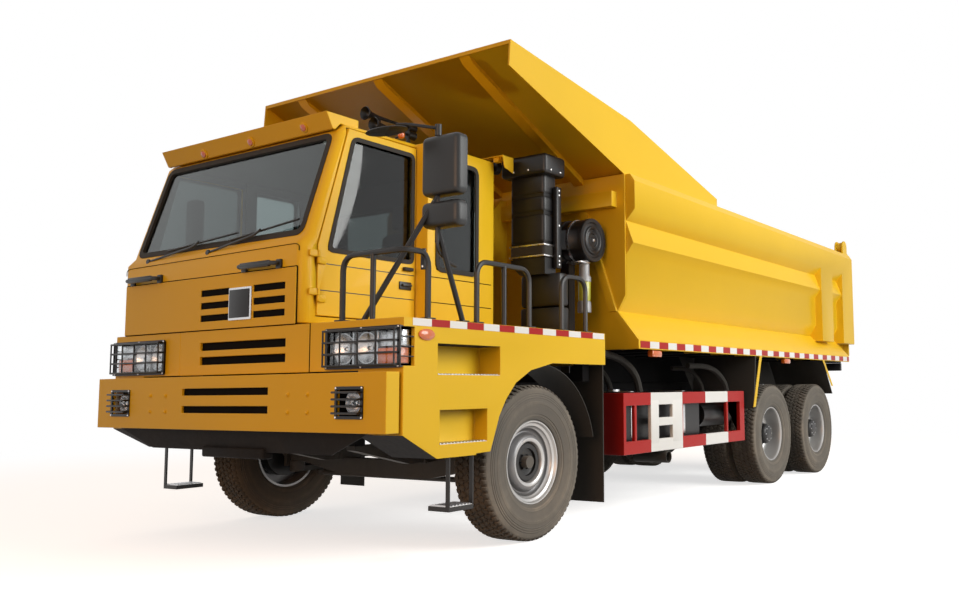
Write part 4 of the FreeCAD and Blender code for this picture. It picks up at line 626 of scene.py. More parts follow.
class TRUCK_OT_stage(bpy.types.Operator):
    """Adds the floor, the lights, the world and the camera"""
    bl_idname = "truck.stage"
    bl_label = "Stage"

    def execute(self, context):
        scene = context.scene
        scene.view_settings.view_transform = "Standard"
        self.floor(scene)
        self.world(scene)
        self.lamp("key", (10.5, 0.5, 5.2), (0.4, 0.0, 1.4), 8.0, 1080.0, (1.0, 1.0, 0.97))
        self.lamp("front", (3.0, -11.0, 3.2), (0.0, -3.0, 1.2), 5.0, 250.0, (1.0, 0.56, 0.30))
        self.camera(scene)
        return {"FINISHED"}

    def floor(self, scene):
        half = 60.0
        bm = bmesh.new()
        bmesh.ops.create_grid(bm, x_segments=2, y_segments=2, size=half)
        mesh = bpy.data.meshes.new("floor")
        bm.to_mesh(mesh)
        bm.free()
        made = bpy.data.objects.new("floor", mesh)
        scene.collection.objects.link(made)
        mesh.materials.append(self.floor_material())

    def floor_material(self):
        """White where it is seen, with the truck's shadow near it, and dim for bounced light."""
        shadow_ends = (6.0, 13.0)
        bounced = (0.09, 0.085, 0.08)
        made = bpy.data.materials.new("pale_floor")
        made.use_nodes = True
        tree = made.node_tree
        tree.nodes.clear()
        seen = seen_directly(tree)
        plain = node(tree, "ShaderNodeBsdfDiffuse")
        reach = node(tree, "ShaderNodeVectorMath", operation="LENGTH")
        link(tree, node(tree, "ShaderNodeTexCoord").outputs["Object"], reach.inputs[0])
        near = span(tree, reach.outputs["Value"], *shadow_ends, 0.85, 0.0)
        tint = node(tree, "ShaderNodeMix", data_type="RGBA")
        link(tree, seen, tint.inputs[0])
        tint.inputs[6].default_value = opaque(bounced)
        link(tree, near, tint.inputs[7])
        link(tree, tint.outputs[2], plain.inputs["Color"])
        glow = node(tree, "ShaderNodeEmission")
        far = span(tree, reach.outputs["Value"], *shadow_ends, 0.68, 1.0)
        link(tree, maths(tree, "MULTIPLY", seen, far), glow.inputs["Strength"])
        both_parts = node(tree, "ShaderNodeAddShader")
        link(tree, plain.outputs[0], both_parts.inputs[0])
        link(tree, glow.outputs[0], both_parts.inputs[1])
        out = node(tree, "ShaderNodeOutputMaterial")
        link(tree, both_parts.outputs[0], out.inputs["Surface"])
        return made

    def world(self, scene):
        """White where it is seen, and a soft warm light, stronger from above, on the truck."""
        warm, white = (1.0, 0.82, 0.68), (1.0, 1.0, 1.0)
        world = bpy.data.worlds.new("studio")
        world.use_nodes = True
        scene.world = world
        tree = world.node_tree
        back = tree.nodes["Background"]
        seen = seen_directly(tree)
        way = node(tree, "ShaderNodeSeparateXYZ")
        link(tree, node(tree, "ShaderNodeTexCoord").outputs["Generated"], way.inputs[0])
        sky = span(tree, way.outputs["Z"], -0.1, 0.8, 0.07, 0.42)
        link(tree, maths(tree, "MAXIMUM", seen, sky), back.inputs["Strength"])
        tint = node(tree, "ShaderNodeMix", data_type="RGBA")
        link(tree, seen, tint.inputs[0])
        tint.inputs[6].default_value = opaque(warm)
        tint.inputs[7].default_value = opaque(white)
        link(tree, tint.outputs[2], back.inputs["Color"])

    def lamp(self, name, place, target, size, power, colour):
        light = bpy.data.lights.new(name, "AREA")
        light.shape = "DISK"
        light.size = size
        light.energy = power
        light.color = colour
        made = bpy.data.objects.new(name, light)
        made.location = place
        made.rotation_euler = (Vector(target) - Vector(place)).to_track_quat("-Z", "Y").to_euler()
        bpy.context.scene.collection.objects.link(made)

    def camera(self, scene):
        yaw, pitch, roll = math.radians(31.813), math.radians(5.402), math.radians(-0.609)
        ahead = Vector((-math.sin(yaw) * math.cos(pitch), math.cos(yaw) * math.cos(pitch), math.sin(pitch)))
        side = Vector((math.cos(yaw), math.sin(yaw), 0.0))
        up = side.cross(ahead)
        right = side * math.cos(roll) + up * math.sin(roll)
        top = up * math.cos(roll) - side * math.sin(roll)
        data = bpy.data.cameras.new("camera")
        data.lens = 33.684
        data.sensor_width = 36.0
        data.shift_x = -0.15495
        data.clip_end = 200.0
        made = bpy.data.objects.new("camera", data)
        turn = Matrix((right, top, -ahead)).transposed().to_4x4()
        made.matrix_world = Matrix.Translation(spot(5.572, -3.749, 1.083)) @ turn
        scene.collection.objects.link(made)
        scene.camera = made


# Painted and bare metal of the CAD nodes
class TRUCK_OT_bodywork(bpy.types.Operator):
    """Paints and rounds the cab, front, bed and canopy panels"""
    bl_idname = "truck.bodywork"
    bl_label = "Bodywork"

    def execute(self, context):
        edge = sizes().edge
        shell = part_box("cab_shell")[0]
        room = spot(-0.44, 1.1, 2.3)
        bulge_x, bulge_y = 0.60, spot(0, 1.2, 0).y
        skin = 0.01
        bed_wall_x, bed_wall_z = 1.36, 1.5
        well_x = 1.56
        square_on = 0.9

        def cab_side(face):
            """Faces that look into the cab's room get the lining."""
            middle = face.calc_center_median()
            looks_in = face.normal.dot(room - middle) > 0.02
            bulge = middle.x > bulge_x and middle.y < bulge_y
            outer = bulge or middle.y - shell.y < skin or middle.x - shell.x < skin
            return 1 if looks_in and not outer else 0

        def bed_side(face):
            """Faces that look into the bed get its worn paint."""
            middle = face.calc_center_median()
            looks_in = face.normal.x * middle.x < 0
            return 1 if looks_in and abs(middle.x) < bed_wall_x and middle.z > bed_wall_z else 0

        def fender_underside_shade(face):
            """The fender boxes' undersides are black as painted shade, but not along their outer edge."""
            return 1 if face.normal.z < -0.3 and abs(face.calc_center_median().x) < well_x else 0

        dress("cab_shell", ("yellow", "lining"), edge, cab_side, joined=False)
        for side in ("left", "right"):
            name = "door_" + side
            door_low, door_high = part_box(name)
            inner = door_low.x if side == "left" else door_high.x
            dress(name, ("yellow", "lining"), edge,
                  lambda face, inner=inner: 1 if abs(face.calc_center_median().x - inner) < 0.003 else 0,
                  joined=False)
        for name in ("bumper", "front_apron", "sun_visor"):
            dress(name, ("yellow",), edge)
        # Black on the fenders' undersides is painted shade.
        dress("fenders", ("yellow", "frame_black"), edge, fender_underside_shade)
        dress("bed_sides", ("yellow", "bed_inside"), edge, bed_side)
        dress("bed_front_wall", ("yellow", "bed_inside"), edge,
              lambda face: 1 if face.normal.y > square_on else 0)
        # The bed floor is black but for its upward faces: painted shade under the bed.
        dress("bed_floor", ("frame_black", "bed_inside"), edge,
              lambda face: 1 if face.normal.z > square_on else 0)
        dress("canopy", ("yellow",))
        dress("tailgate", ("yellow", "bed_inside"), edge,
              lambda face: 1 if face.normal.y < -square_on else 0)
        return {"FINISHED"}


class TRUCK_OT_ironwork(bpy.types.Operator):
    """Finishes the frame, axles, hoist and other plain metal"""
    bl_idname = "truck.ironwork"
    bl_label = "Ironwork"

    def execute(self, context):
        looks = {
            "frame_black": ("chassis_frame", "radiator"),
            "iron": ("front_axle", "driven_axles", "engine_block", "drive_line", "knuckle_left",
                     "knuckle_right", "tie_rod"),
            "black": ("battery_box", "hanging_steps", "lamp_guards", "air_filter"),
            "rubber": ("front_mudflaps", "mudguards"),
            "grey": ("muffler",),
            "red": ("hoist_barrel",),
            "steel": tuple("hoist_stage_%d" % number for number in range(1, 5)),
            "plastic": ("dashboard",),
        }
        for look, names in looks.items():
            for name in names:
                dress(name, (look,))
        return {"FINISHED"}


# Wheels
tyre_radius = 0.5625
tyre_half_width = 0.1575
round_steps = 72


class TRUCK_OT_tyres(bpy.types.Operator):
    """Builds the ten tyres with ringed walls and block tread"""
    bl_idname = "truck.tyres"
    bl_label = "Tyres"

    def execute(self, context):
        for name in sorted(frame["nodes"]):
            if not name.startswith("tyre"):
                continue
            low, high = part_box(name)
            middle = (low + high) / 2
            twin = high.x - low.x > 3 * tyre_half_width
            places = [low.x + tyre_half_width, high.x - tyre_half_width] if twin else [middle.x]
            bm = bmesh.new()
            for x in places:
                centre = Vector((x, middle.y, middle.z))
                self.casing(bm, centre)
                self.blocks(bm, centre)
            finish(name + "_rubber", bm, body_of[name], ("tyre_wall", "tread"), (name,),
                   sharp=32.0)
        return {"FINISHED"}

    def casing(self, bm, centre):
        """The turned body, whose wall steps in and out in rings."""
        base = tyre_radius - sizes().tread
        tread_from = 0.538
        wall = [
            (0.120, 0.3035), (0.1285, 0.309), (0.1335, 0.320), (0.1360, 0.3300), (0.1390, 0.3320),
            (0.1400, 0.3400), (0.1415, 0.3480), (0.1450, 0.3500), (0.1470, 0.3700), (0.1530, 0.4000),
            (0.1560, 0.4200), (tyre_half_width, 0.4210), (tyre_half_width, 0.4400), (0.1560, 0.4412),
            (0.1550, 0.4640), (0.1568, 0.4660), (0.1563, 0.4700), (0.1543, 0.4715), (0.1536, 0.4800),
            (0.1554, 0.4815), (0.1546, 0.4855), (0.1524, 0.4870), (0.1510, 0.4960), (0.1530, 0.4975),
            (0.1522, 0.5015), (0.1494, 0.5030), (0.1470, 0.5180), (0.1440, 0.5300), (0.1390, 0.5400),
            (0.1280, base), (0.06, base + 0.0015)]
        profile = wall + [(0.0, base + 0.002)] + [(-along, radius) for along, radius in reversed(wall)]
        layer = bm.verts.layers.float.get("ring") or bm.verts.layers.float.new("ring")
        for face in add_turned(bm, profile, centre, X_AXIS, round_steps, 0):
            middle = face.calc_center_median() - centre
            if math.hypot(middle.y, middle.z) > tread_from:
                face.material_index = 1
            for vert in face.verts:
                place = vert.co - centre
                vert[layer] = self.dusty(math.hypot(place.y, place.z))

    def dusty(self, radius):
        """How much dust lies on the wall at a distance from the axle."""
        bands = ((0.329, 0.15), (0.349, 0.85), (0.369, 0.25), (0.405, 0.45), (0.441, 0.75), (0.465, 0.50),
                 (0.471, 0.10), (0.481, 0.85), (0.486, 0.10), (0.497, 0.85), (0.502, 0.15), (0.525, 0.80))
        for limit, amount in bands:
            if radius < limit:
                return amount
        return 1.0

    def blocks(self, bm, centre):
        """Four rows of skewed blocks and a row of teeth on each shoulder."""
        count = sizes().lugs
        pitch = math.tau / count
        height = 0.03
        top = 0.5612
        # Each row's place across the tread, its blocks' width and length, its shift in pitches and its skew
        rows = ((0.026, 0.042, 0.034, 0.0, 0.50), (-0.026, 0.042, 0.034, 0.5, 0.50),
                (0.0740, 0.042, 0.034, 0.5, -0.50), (-0.0740, 0.042, 0.034, 0.0, -0.50))
        for side, width, length, offset, skew in rows:
            made = bmesh.ops.create_cube(bm, size=1.0)["verts"]
            bmesh.ops.scale(bm, vec=(width, length, height), verts=made)
            bmesh.ops.rotate(bm, cent=(0, 0, 0), matrix=Matrix.Rotation(skew, 3, "Z"), verts=made)
            self.around(bm, made, centre, Vector((side, 0.0, top - height / 2)), offset * pitch, count)
        tooth_length = 0.029
        tooth = ((0.098, 0.535), (0.098, 0.5605), (0.126, 0.5590), (0.1385, 0.5480), (0.1425, 0.5300),
                 (0.130, 0.525))
        for way in both:
            outline = [Vector((way * x, -tooth_length / 2, z)) for x, z in tooth]
            made = add_prism(bm, outline, (0.0, tooth_length, 0.0), 1)
            self.around(bm, made, centre, Vector((0.0, 0.0, 0.0)), pitch * (0.0 if way > 0 else 0.5), count)

    def around(self, bm, made, centre, shift, angle, count):
        """Rounds one block, sets it on the tread and repeats it round the tyre."""
        paint_faces(made, 1)
        bmesh.ops.translate(bm, vec=shift, verts=made)
        before = set(bm.verts) - set(made)
        edges = list({edge for vert in made for edge in vert.link_edges})
        bmesh.ops.bevel(bm, geom=edges, offset=0.004, offset_type="OFFSET", segments=1, profile=0.5,
                        affect="EDGES", clamp_overlap=True, material=-1)
        verts = [vert for vert in bm.verts if vert not in before]
        bmesh.ops.rotate(bm, cent=(0, 0, 0), matrix=Matrix.Rotation(angle, 3, "X"), verts=verts)
        bmesh.ops.translate(bm, vec=centre, verts=verts)
        faces = list({face for vert in verts for face in vert.link_faces})
        edges = list({edge for vert in verts for edge in vert.link_edges})
        bmesh.ops.spin(bm, geom=verts + edges + faces, cent=centre, axis=X_AXIS,
                       angle=math.tau * (count - 1) / count, steps=count - 1, use_duplicate=True)


wheel_middle_x = 1.3675
# The tyre's seat and the rolled lip of every rim, as (along, radius), and the point behind that closes them
rim_edge = [(-0.118, 0.285), (-0.120, 0.303), (0.110, 0.3028), (0.119, 0.3030), (0.1225, 0.2990),
            (0.1215, 0.2915), (0.1120, 0.2860)]
rim_back = (-0.1100, 0.2850)


class TRUCK_OT_rims(bpy.types.Operator):
    """Builds the front and twin rims with hubs and nuts"""
    bl_idname = "truck.rims"
    bl_label = "Rims"

    def execute(self, context):
        looks = ("silver", "black", "steel", "worn")
        for name in sorted(frame["nodes"]):
            if not name.startswith("rim"):
                continue
            low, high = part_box(name)
            way = 1.0 if low.x > 0 else -1.0
            centre = Vector((way * wheel_middle_x, (low.y + high.y) / 2, (low.z + high.z) / 2))
            bm = bmesh.new()
            if name.startswith("rim_front"):
                self.front(bm, centre, X_AXIS * way)
            else:
                self.twin(bm, centre, X_AXIS * way)
            finish(name + "_wheel", bm, body_of[name], looks, (name,), sharp=30.0)
        return {"FINISHED"}

    def front(self, bm, centre, way):
        """A dish that comes back out to a raised ring, with a well between that is painted darker as shade,
        and a sunk hub.
        """
        well = (0.178, 0.250)
        dish = rim_edge + [
            (0.1040, 0.2820), (0.0980, 0.2680), (0.0960, 0.2640), (0.0900, 0.2620), (0.0780, 0.2570),
            (0.0700, 0.2480), (0.0660, 0.2440), (0.0610, 0.2430), (0.0480, 0.2330), (0.0430, 0.2250),
            (0.0450, 0.2170), (0.0600, 0.2080), (0.0790, 0.1990), (0.0900, 0.1880), (0.0940, 0.1750),
            (0.0930, 0.1620), (0.0860, 0.1510), (0.0700, 0.1440), (0.0450, 0.1410), (0.0300, 0.1410),
            (0.0250, 0.2000), (0.0200, 0.2800), rim_back]
        for face in add_turned(bm, dish, centre, way, round_steps, 0, looped=True):
            middle = face.calc_center_median() - centre
            # The well's faces take the darker metal: painted shade in the deep groove.
            if well[0] < math.hypot(middle.y, middle.z) < well[1]:
                face.material_index = 3
        hub = [(-0.10, 0.0), (-0.10, 0.205), (0.0, 0.205), (0.02, 0.139), (0.062, 0.139), (0.070, 0.132),
               (0.070, 0.100), (0.050, 0.096), (0.044, 0.074), (0.043, 0.0)]
        add_turned(bm, hub, centre, way, 48, 1)
        self.nuts(bm, centre + way * 0.043, way, 0.055, 6, 0.008, 1)

    def twin(self, bm, centre, way):
        """The outer rim's deep dish and hub, and the inner rim's barrel and drum behind it."""
        dish = rim_edge + [
            (0.1020, 0.2830), (0.0600, 0.2810), (0.0200, 0.2800), (-0.0300, 0.2760), (-0.0620, 0.2660),
            (-0.0800, 0.2480), (-0.0850, 0.2300), (-0.0850, 0.1480), (-0.1100, 0.1480), rim_back]
        add_turned(bm, dish, centre, way, round_steps, 0, looped=True)
        hub = [(-0.2, 0.0), (-0.2, 0.205), (-0.115, 0.205), (-0.115, 0.15), (-0.030, 0.15), (-0.018, 0.146),
               (-0.016, 0.118), (0.050, 0.112), (0.072, 0.104), (0.086, 0.088), (0.092, 0.060), (0.094, 0.0)]
        add_turned(bm, hub, centre, way, 48, 1)
        wheels_apart = 0.35
        inner = centre - way * wheels_apart
        barrel = [(-0.118, 0.285), (-0.120, 0.303), (0.230, 0.303), (0.230, 0.285)]
        add_turned(bm, barrel, inner, way, round_steps, 0, looped=True)
        drum = [(-0.060, 0.140), (-0.060, 0.205), (0.20, 0.205), (0.20, 0.140)]
        add_turned(bm, drum, inner, way, 48, 1, looped=True)
        # Wheel nuts on the disc, and the hub's rings of bolts on its flange and cap
        for along, radius, count, size in ((-0.085, 0.180, 10, 0.018), (-0.018, 0.132, 12, 0.009),
                                           (0.080, 0.080, 8, 0.009)):
            self.nuts(bm, centre + way * along, way, radius, count, size, 2)
        # Thin dark discs stand for the dish's holes: painted shade of the hollow behind them.
        holes, hole_ring, hole_radius = 8, 0.225, 0.018
        for step in range(holes):
            turn = math.tau * (step + 0.5) / holes
            place = centre - way * 0.0845 + Vector((0.0, math.cos(turn), math.sin(turn))) * hole_ring
            add_rod(bm, place, place + way * 0.002, hole_radius, 16, 1)

    def nuts(self, bm, centre, way, radius, count, size, index):
        for step in range(count):
            turn = math.tau * step / count
            place = centre + Vector((0.0, math.cos(turn), math.sin(turn))) * radius
            add_nut(bm, place, way, size, size, index)


# Front panels
class TRUCK_OT_front_panels(bpy.types.Operator):
    """Adds the hood panel with its slots and blank plate, the grab handles, bolts, seams and chin"""
    bl_idname = "truck.front_panels"
    bl_label = "Front panels"

    def execute(self, context):
        self.hood()
        self.handles()
        self.bolts()
        self.scuttle()
        self.chin()
        return {"FINISHED"}

    def hood(self):
        """The raised hood with six slots, their dark backs as painted shade, the seams and the blank plate.
        """
        face_y = 0.126
        proud = 0.010
        left_slots, right_slots = (-0.470, -0.140), (0.133, 0.470)
        xs = [-1.450, *left_slots, *right_slots, 0.578]
        zs = [1.540, 1.5995, 1.6455, 1.6895, 1.7365, 1.7805, 1.8275, 1.922]
        bm = bmesh.new()
        bmesh.ops.create_grid(bm, x_segments=len(xs) - 1, y_segments=len(zs) - 1, size=1.0)
        columns = sorted({round(vert.co.x, 4) for vert in bm.verts})
        rows = sorted({round(vert.co.y, 4) for vert in bm.verts})
        for vert in bm.verts:
            x = xs[columns.index(round(vert.co.x, 4))]
            z = zs[rows.index(round(vert.co.y, 4))]
            vert.co = spot(x, face_y - proud, z)
        holes = []
        for face in bm.faces:
            middle = face.calc_center_median()
            across = any(low < middle.x < high for low, high in (left_slots, right_slots))
            up = any(low < middle.z < high for low, high in zip(zs[1:-1:2], zs[2:-1:2]))
            if across and up:
                holes.append(face)
        bmesh.ops.delete(bm, geom=holes, context="FACES")
        made = bmesh.ops.extrude_face_region(bm, geom=list(bm.faces))["geom"]
        moved = [one for one in made if isinstance(one, bmesh.types.BMVert)]
        bmesh.ops.translate(bm, vec=(0.0, proud - 0.0005, 0.0), verts=moved)
        finish("hood_panel", bm, "chassis", ("yellow",), edge=0.003)
        self.slot_backs(face_y)
        self.plate()

    def slot_backs(self, face_y):
        """Dark plates in the slots as painted shade of their hollows, the hood's gap and the seam beside the
        apron.
        """
        bm = bmesh.new()
        # Near-black plates at the backs of the hood's slots: painted shade.
        for low, high in ((-0.472, -0.138), (0.131, 0.472)):
            add_box(bm, spot(low, face_y - 0.0012, 1.595), spot(high, face_y - 0.0002, 1.832))
        corners = [spot(x, face_y - 0.0022, z) for x, z in
                   ((-1.458, 1.534), (0.586, 1.534), (0.586, 1.930), (-1.458, 1.930))]
        add_ring(bm, corners, 0.0, 0.012, 0.010, (0.0, 0.002, 0.0))
        half = 0.480
        thick = 0.002
        bumper_y, bumper_slots = 0.0225, ((0.945, 1.003), (1.067, 1.125))
        apron_y, apron_slots = 0.1485, ((1.284, 1.350), (1.386, 1.452))
        # Near-black plates in the bumper's and apron's slots: painted shade.
        for y, slots in ((bumper_y, bumper_slots), (apron_y, apron_slots)):
            for low, high in slots:
                add_box(bm, spot(-half, y, low), spot(half, y + thick, high))
        add_box(bm, spot(0.7185, 0.1245, 1.216), spot(0.7265, 0.1262, 1.534))
        finish("front_dark_seams", bm, "chassis", ("dark",))

    def plate(self):
        """A plain dark square on a silver plate."""
        bm = bmesh.new()
        add_block(bm, spot(-0.128, 0.104, 1.592), spot(0.124, 0.1165, 1.822), 0.006, 1)
        add_block(bm, spot(-0.112, 0.0985, 1.608), spot(0.108, 0.1055, 1.806), 0.003, 0)
        finish("front_blank_plate", bm, "chassis", ("black", "steel"))

    def handles(self):
        """Two bent tubes between feet, each with a grip."""
        bm = bmesh.new()
        z = 1.955
        foot_width, inset = 0.052, 0.020
        foot_y, foot_back, bar_y = 0.104, 0.127, 0.062
        for low, high in ((-1.381, -0.970), (0.004, 0.429)):
            for x in (low, high - foot_width):
                add_block(bm, spot(x, foot_y, z - 0.034), spot(x + foot_width, foot_back, z + 0.030), 0.006)
            x0, x1 = low + inset, high - inset
            add_pipe(bm, [spot(x0, 0.112, z), spot(x0, bar_y, z), spot(x1, bar_y, z), spot(x1, 0.112, z)],
                     0.0155, 0.03)
            add_block(bm, spot(low + 0.055, 0.048, z - 0.022), spot(high - 0.055, 0.078, z + 0.022), 0.010, 0)
        finish("hood_grab_handles", bm, "chassis", ("plastic",))

    def bolts(self):
        """Four bolts on each side of the bumper."""
        bm = bmesh.new()
        back_y, face_y = 0.001, -0.003
        for x in (0.675, 0.865):
            for z in (0.958, 1.072):
                for side in both:
                    add_rod(bm, spot(side * x, face_y, z), spot(side * x, back_y, z), 0.017, 20)
                    add_dome(bm, spot(side * x, face_y, z), -Y_AXIS, 0.012)
        finish("bumper_bolts", bm, "chassis", ("yellow",))

    def scuttle(self):
        """The seam under the windshield."""
        bm = bmesh.new()
        y = 0.1262
        seam = [spot(x, y, z) for x, z in ((-1.470, 2.01), (-1.470, 2.062), (0.592, 2.080), (0.592, 2.03))]
        add_pipe(bm, seam, 0.0028, 0.06)
        finish("scuttle_seam", bm, "chassis", ("dark",))

    def chin(self):
        """The dark sheet under the bumper, with a block in its middle."""
        top_half, top_y, top_z = 1.36, 0.06, 0.836
        low_half, low_y, low_z = 0.98, 0.10, 0.690
        bm = bmesh.new()
        outline = [spot(-top_half, top_y, top_z), spot(-low_half, low_y, low_z), spot(low_half, low_y, low_z),
                   spot(top_half, top_y, top_z)]
        add_prism(bm, outline, (0.0, 0.012, 0.0))
        add_block(bm, spot(-0.34, 0.075, 0.645), spot(0.34, 0.16, 0.715), 0.012)
        soften(bm, 0.003)
        finish("bumper_chin", bm, "chassis", ("frame_black",))


class TRUCK_OT_lamps(bpy.types.Operator):
    """Builds the headlamps, fog lamps, marker lamps and their black frames"""
    bl_idname = "truck.lamps"
    bl_label = "Lamps"

    def execute(self, context):
        bm = bmesh.new()
        for side in both:
            self.headlamp(bm, side)
            self.fog(bm, side)
        finish("front_lamp_units", bm, "chassis",
               ("reflector", "dark", "lens", "amber", "black"), ("front_lamps",))
        bm = bmesh.new()
        for side in both:
            self.frames(bm, side)
        finish("lamp_frames", bm, "chassis", ("black", "steel"))
        self.visor_lamps()
        self.side_lamp()
        return {"FINISHED"}

    def visor_lamps(self):
        """Three small amber lamps in yellow rings on the visor's leaning lip."""
        top_y, top_z, lean_y, lean_z = 0.350, 3.050, 0.060, 0.115
        outwards = (0.0, -0.886, -0.463)
        ring = [(0.0, 0.038), (0.006, 0.038), (0.010, 0.030), (0.010, 0.026)]
        lens = [(0.004, 0.028), (0.014, 0.024), (0.020, 0.012), (0.021, 0.0)]
        bm = bmesh.new()
        for x, z in ((-0.921, 2.968), (-0.331, 2.973), (0.281, 2.982)):
            place = spot(x, top_y + lean_y * (top_z - z) / lean_z, z)
            add_turned(bm, ring, place, outwards, 24, 1)
            add_turned(bm, lens, place, outwards, 24, 0)
        finish("visor_lamps", bm, "chassis", ("amber", "yellow"))

    def side_lamp(self):
        """A round amber lamp on a short stalk at the roof's left edge."""
        ball = [(-0.03, 0.0), (-0.024, 0.016), (-0.010, 0.026), (0.008, 0.026), (0.020, 0.016), (0.026, 0.0)]
        bm = bmesh.new()
        add_turned(bm, ball, spot(0.620, 1.000, 3.020), Z_AXIS, 20, 0)
        add_rod(bm, spot(0.56, 1.0, 3.005), spot(0.61, 1.0, 3.015), 0.008, 10, 1)
        finish("roof_side_lamp", bm, "chassis", ("amber", "plastic"))

    def headlamp(self, bm, side):
        """A dark case with two reflector cups, a clear cell over an amber one, and a front pane."""
        x0, x1, y0, y1, z0, z1 = 0.915, 1.548, 0.118, 0.214, 1.243, 1.473
        middle_z = (z0 + z1) / 2

        def corner(x, y, z):
            return spot(side * x, y, z)

        def box(a, b, index, round_edge=0.0):
            low = Vector((min(a.x, b.x), min(a.y, b.y), min(a.z, b.z)))
            high = Vector((max(a.x, b.x), max(a.y, b.y), max(a.z, b.z)))
            if round_edge:
                add_block(bm, low, high, round_edge, index)
            else:
                add_box(bm, low, high, index)

        wall = 0.010
        box(corner(x0, y1 - wall, z0), corner(x1, y1, z1), 1)
        box(corner(x0, y0, z0), corner(x1, y1, z0 + wall), 1)
        box(corner(x0, y0, z1 - wall), corner(x1, y1, z1), 1)
        box(corner(x0, y0, z0), corner(x0 + wall, y1, z1), 1)
        cells = ((x0 + 0.012, x0 + 0.205), (x0 + 0.212, x0 + 0.425))
        for low, high in cells:
            self.cup(bm, corner((low + high) / 2, y1 - 0.012, middle_z), 0.094)
            for edge_x in (low, high):
                box(corner(edge_x - 0.003, y0 + 0.02, z0 + 0.01), corner(edge_x + 0.003, y1, z1 - 0.01), 0)
        low, high = x0 + 0.435, x1 - 0.006
        box(corner(low, y0 + 0.03, middle_z + 0.005), corner(high, y1 - 0.012, z1 - 0.012), 0, 0.004)
        box(corner(low, y0 + 0.012, z0 + 0.012), corner(high, y1 - 0.012, middle_z - 0.005), 3, 0.008)
        box(corner(x0, y0 - 0.001, z0), corner(x1, y0 + 0.003, z1), 2)
        box(corner(x1 - 0.004, y0 + 0.004, z0), corner(x1, y1, z1), 2)

    def cup(self, bm, centre, radius):
        """A reflector bowl with its bulb."""
        rim = radius * 1.06
        bowl = [(0.0, 0.012), (-0.004, radius * 0.35), (-0.020, radius * 0.7), (-0.050, radius),
                (-0.054, radius), (-0.054, rim), (0.001, rim), (0.004, 0.012)]
        bulb = [(0.0, 0.012), (-0.03, 0.014), (-0.044, 0.008), (-0.047, 0.0)]
        add_turned(bm, bowl, centre, Y_AXIS, 28, 0, looped=True)
        add_turned(bm, bulb, centre, Y_AXIS, 14, 2)

    def fog(self, bm, side):
        """A fog lamp's case, cup and domed lens."""
        x0, x1, y1, z0, z1 = 1.146, 1.358, 0.082, 0.939, 1.101
        low, high = sorted((side * x0, side * x1))
        add_box(bm, spot(low, y1 - 0.006, z0), spot(high, y1, z1), 1)
        centre = spot(side * (x0 + x1) / 2 + 0.012, y1 - 0.008, (z0 + z1) / 2)
        self.cup(bm, centre, 0.064)
        add_turned(bm, [(-0.056, 0.064), (-0.064, 0.045), (-0.068, 0.0)], centre, Y_AXIS, 28, 2)

    def frames(self, bm, side):
        """Frames round the lamps, bars beside the headlamp, and bolts."""
        def corners(x0, x1, z0, z1, y):
            found = [spot(x0, y, z0), spot(x1, y, z0), spot(x1, y, z1), spot(x0, y, z1)]
            return found if side > 0 else [Vector((-one.x, one.y, one.z)) for one in found]

        head_y, fog_y = 0.106, -0.008
        add_ring(bm, corners(0.893, 1.562, 1.228, 1.488, head_y), 0.0, 0.012, 0.022, (0.0, 0.010, 0.0))
        add_ring(bm, corners(1.128, 1.376, 0.921, 1.119, fog_y), 0.0, 0.012, 0.018, (0.0, 0.010, 0.0))
        x0, x1 = sorted((side * 1.562, side * 1.570))
        half_bar, bar_back = 0.004, 0.232
        for z in (1.236, 1.297, 1.358, 1.419, 1.480):
            add_block(bm, spot(x0, head_y, z - half_bar), spot(x1, bar_back, z + half_bar), 0.002)
        for y in (head_y, bar_back):
            add_block(bm, spot(x0, y - 0.006, 1.230), spot(x1, y + 0.006, 1.486), 0.002)
        head_bolts = ((0.905, 1.24), (0.905, 1.476), (1.225, 1.238), (1.225, 1.478), (1.548, 1.24),
                      (1.548, 1.476))
        for x, z in head_bolts:
            add_dome(bm, spot(side * x, head_y, z), -Y_AXIS, 0.008, 1)
        for x in (1.138, 1.366):
            for z in (0.931, 1.109):
                add_dome(bm, spot(side * x, fog_y, z), -Y_AXIS, 0.007, 1)


# Cab
# The windshield's foot and head, as (back, height), and its right and left edges
screen_foot, screen_head = (0.185, 2.150), (0.430, 2.915)
screen_right, screen_left = -1.432, 0.552


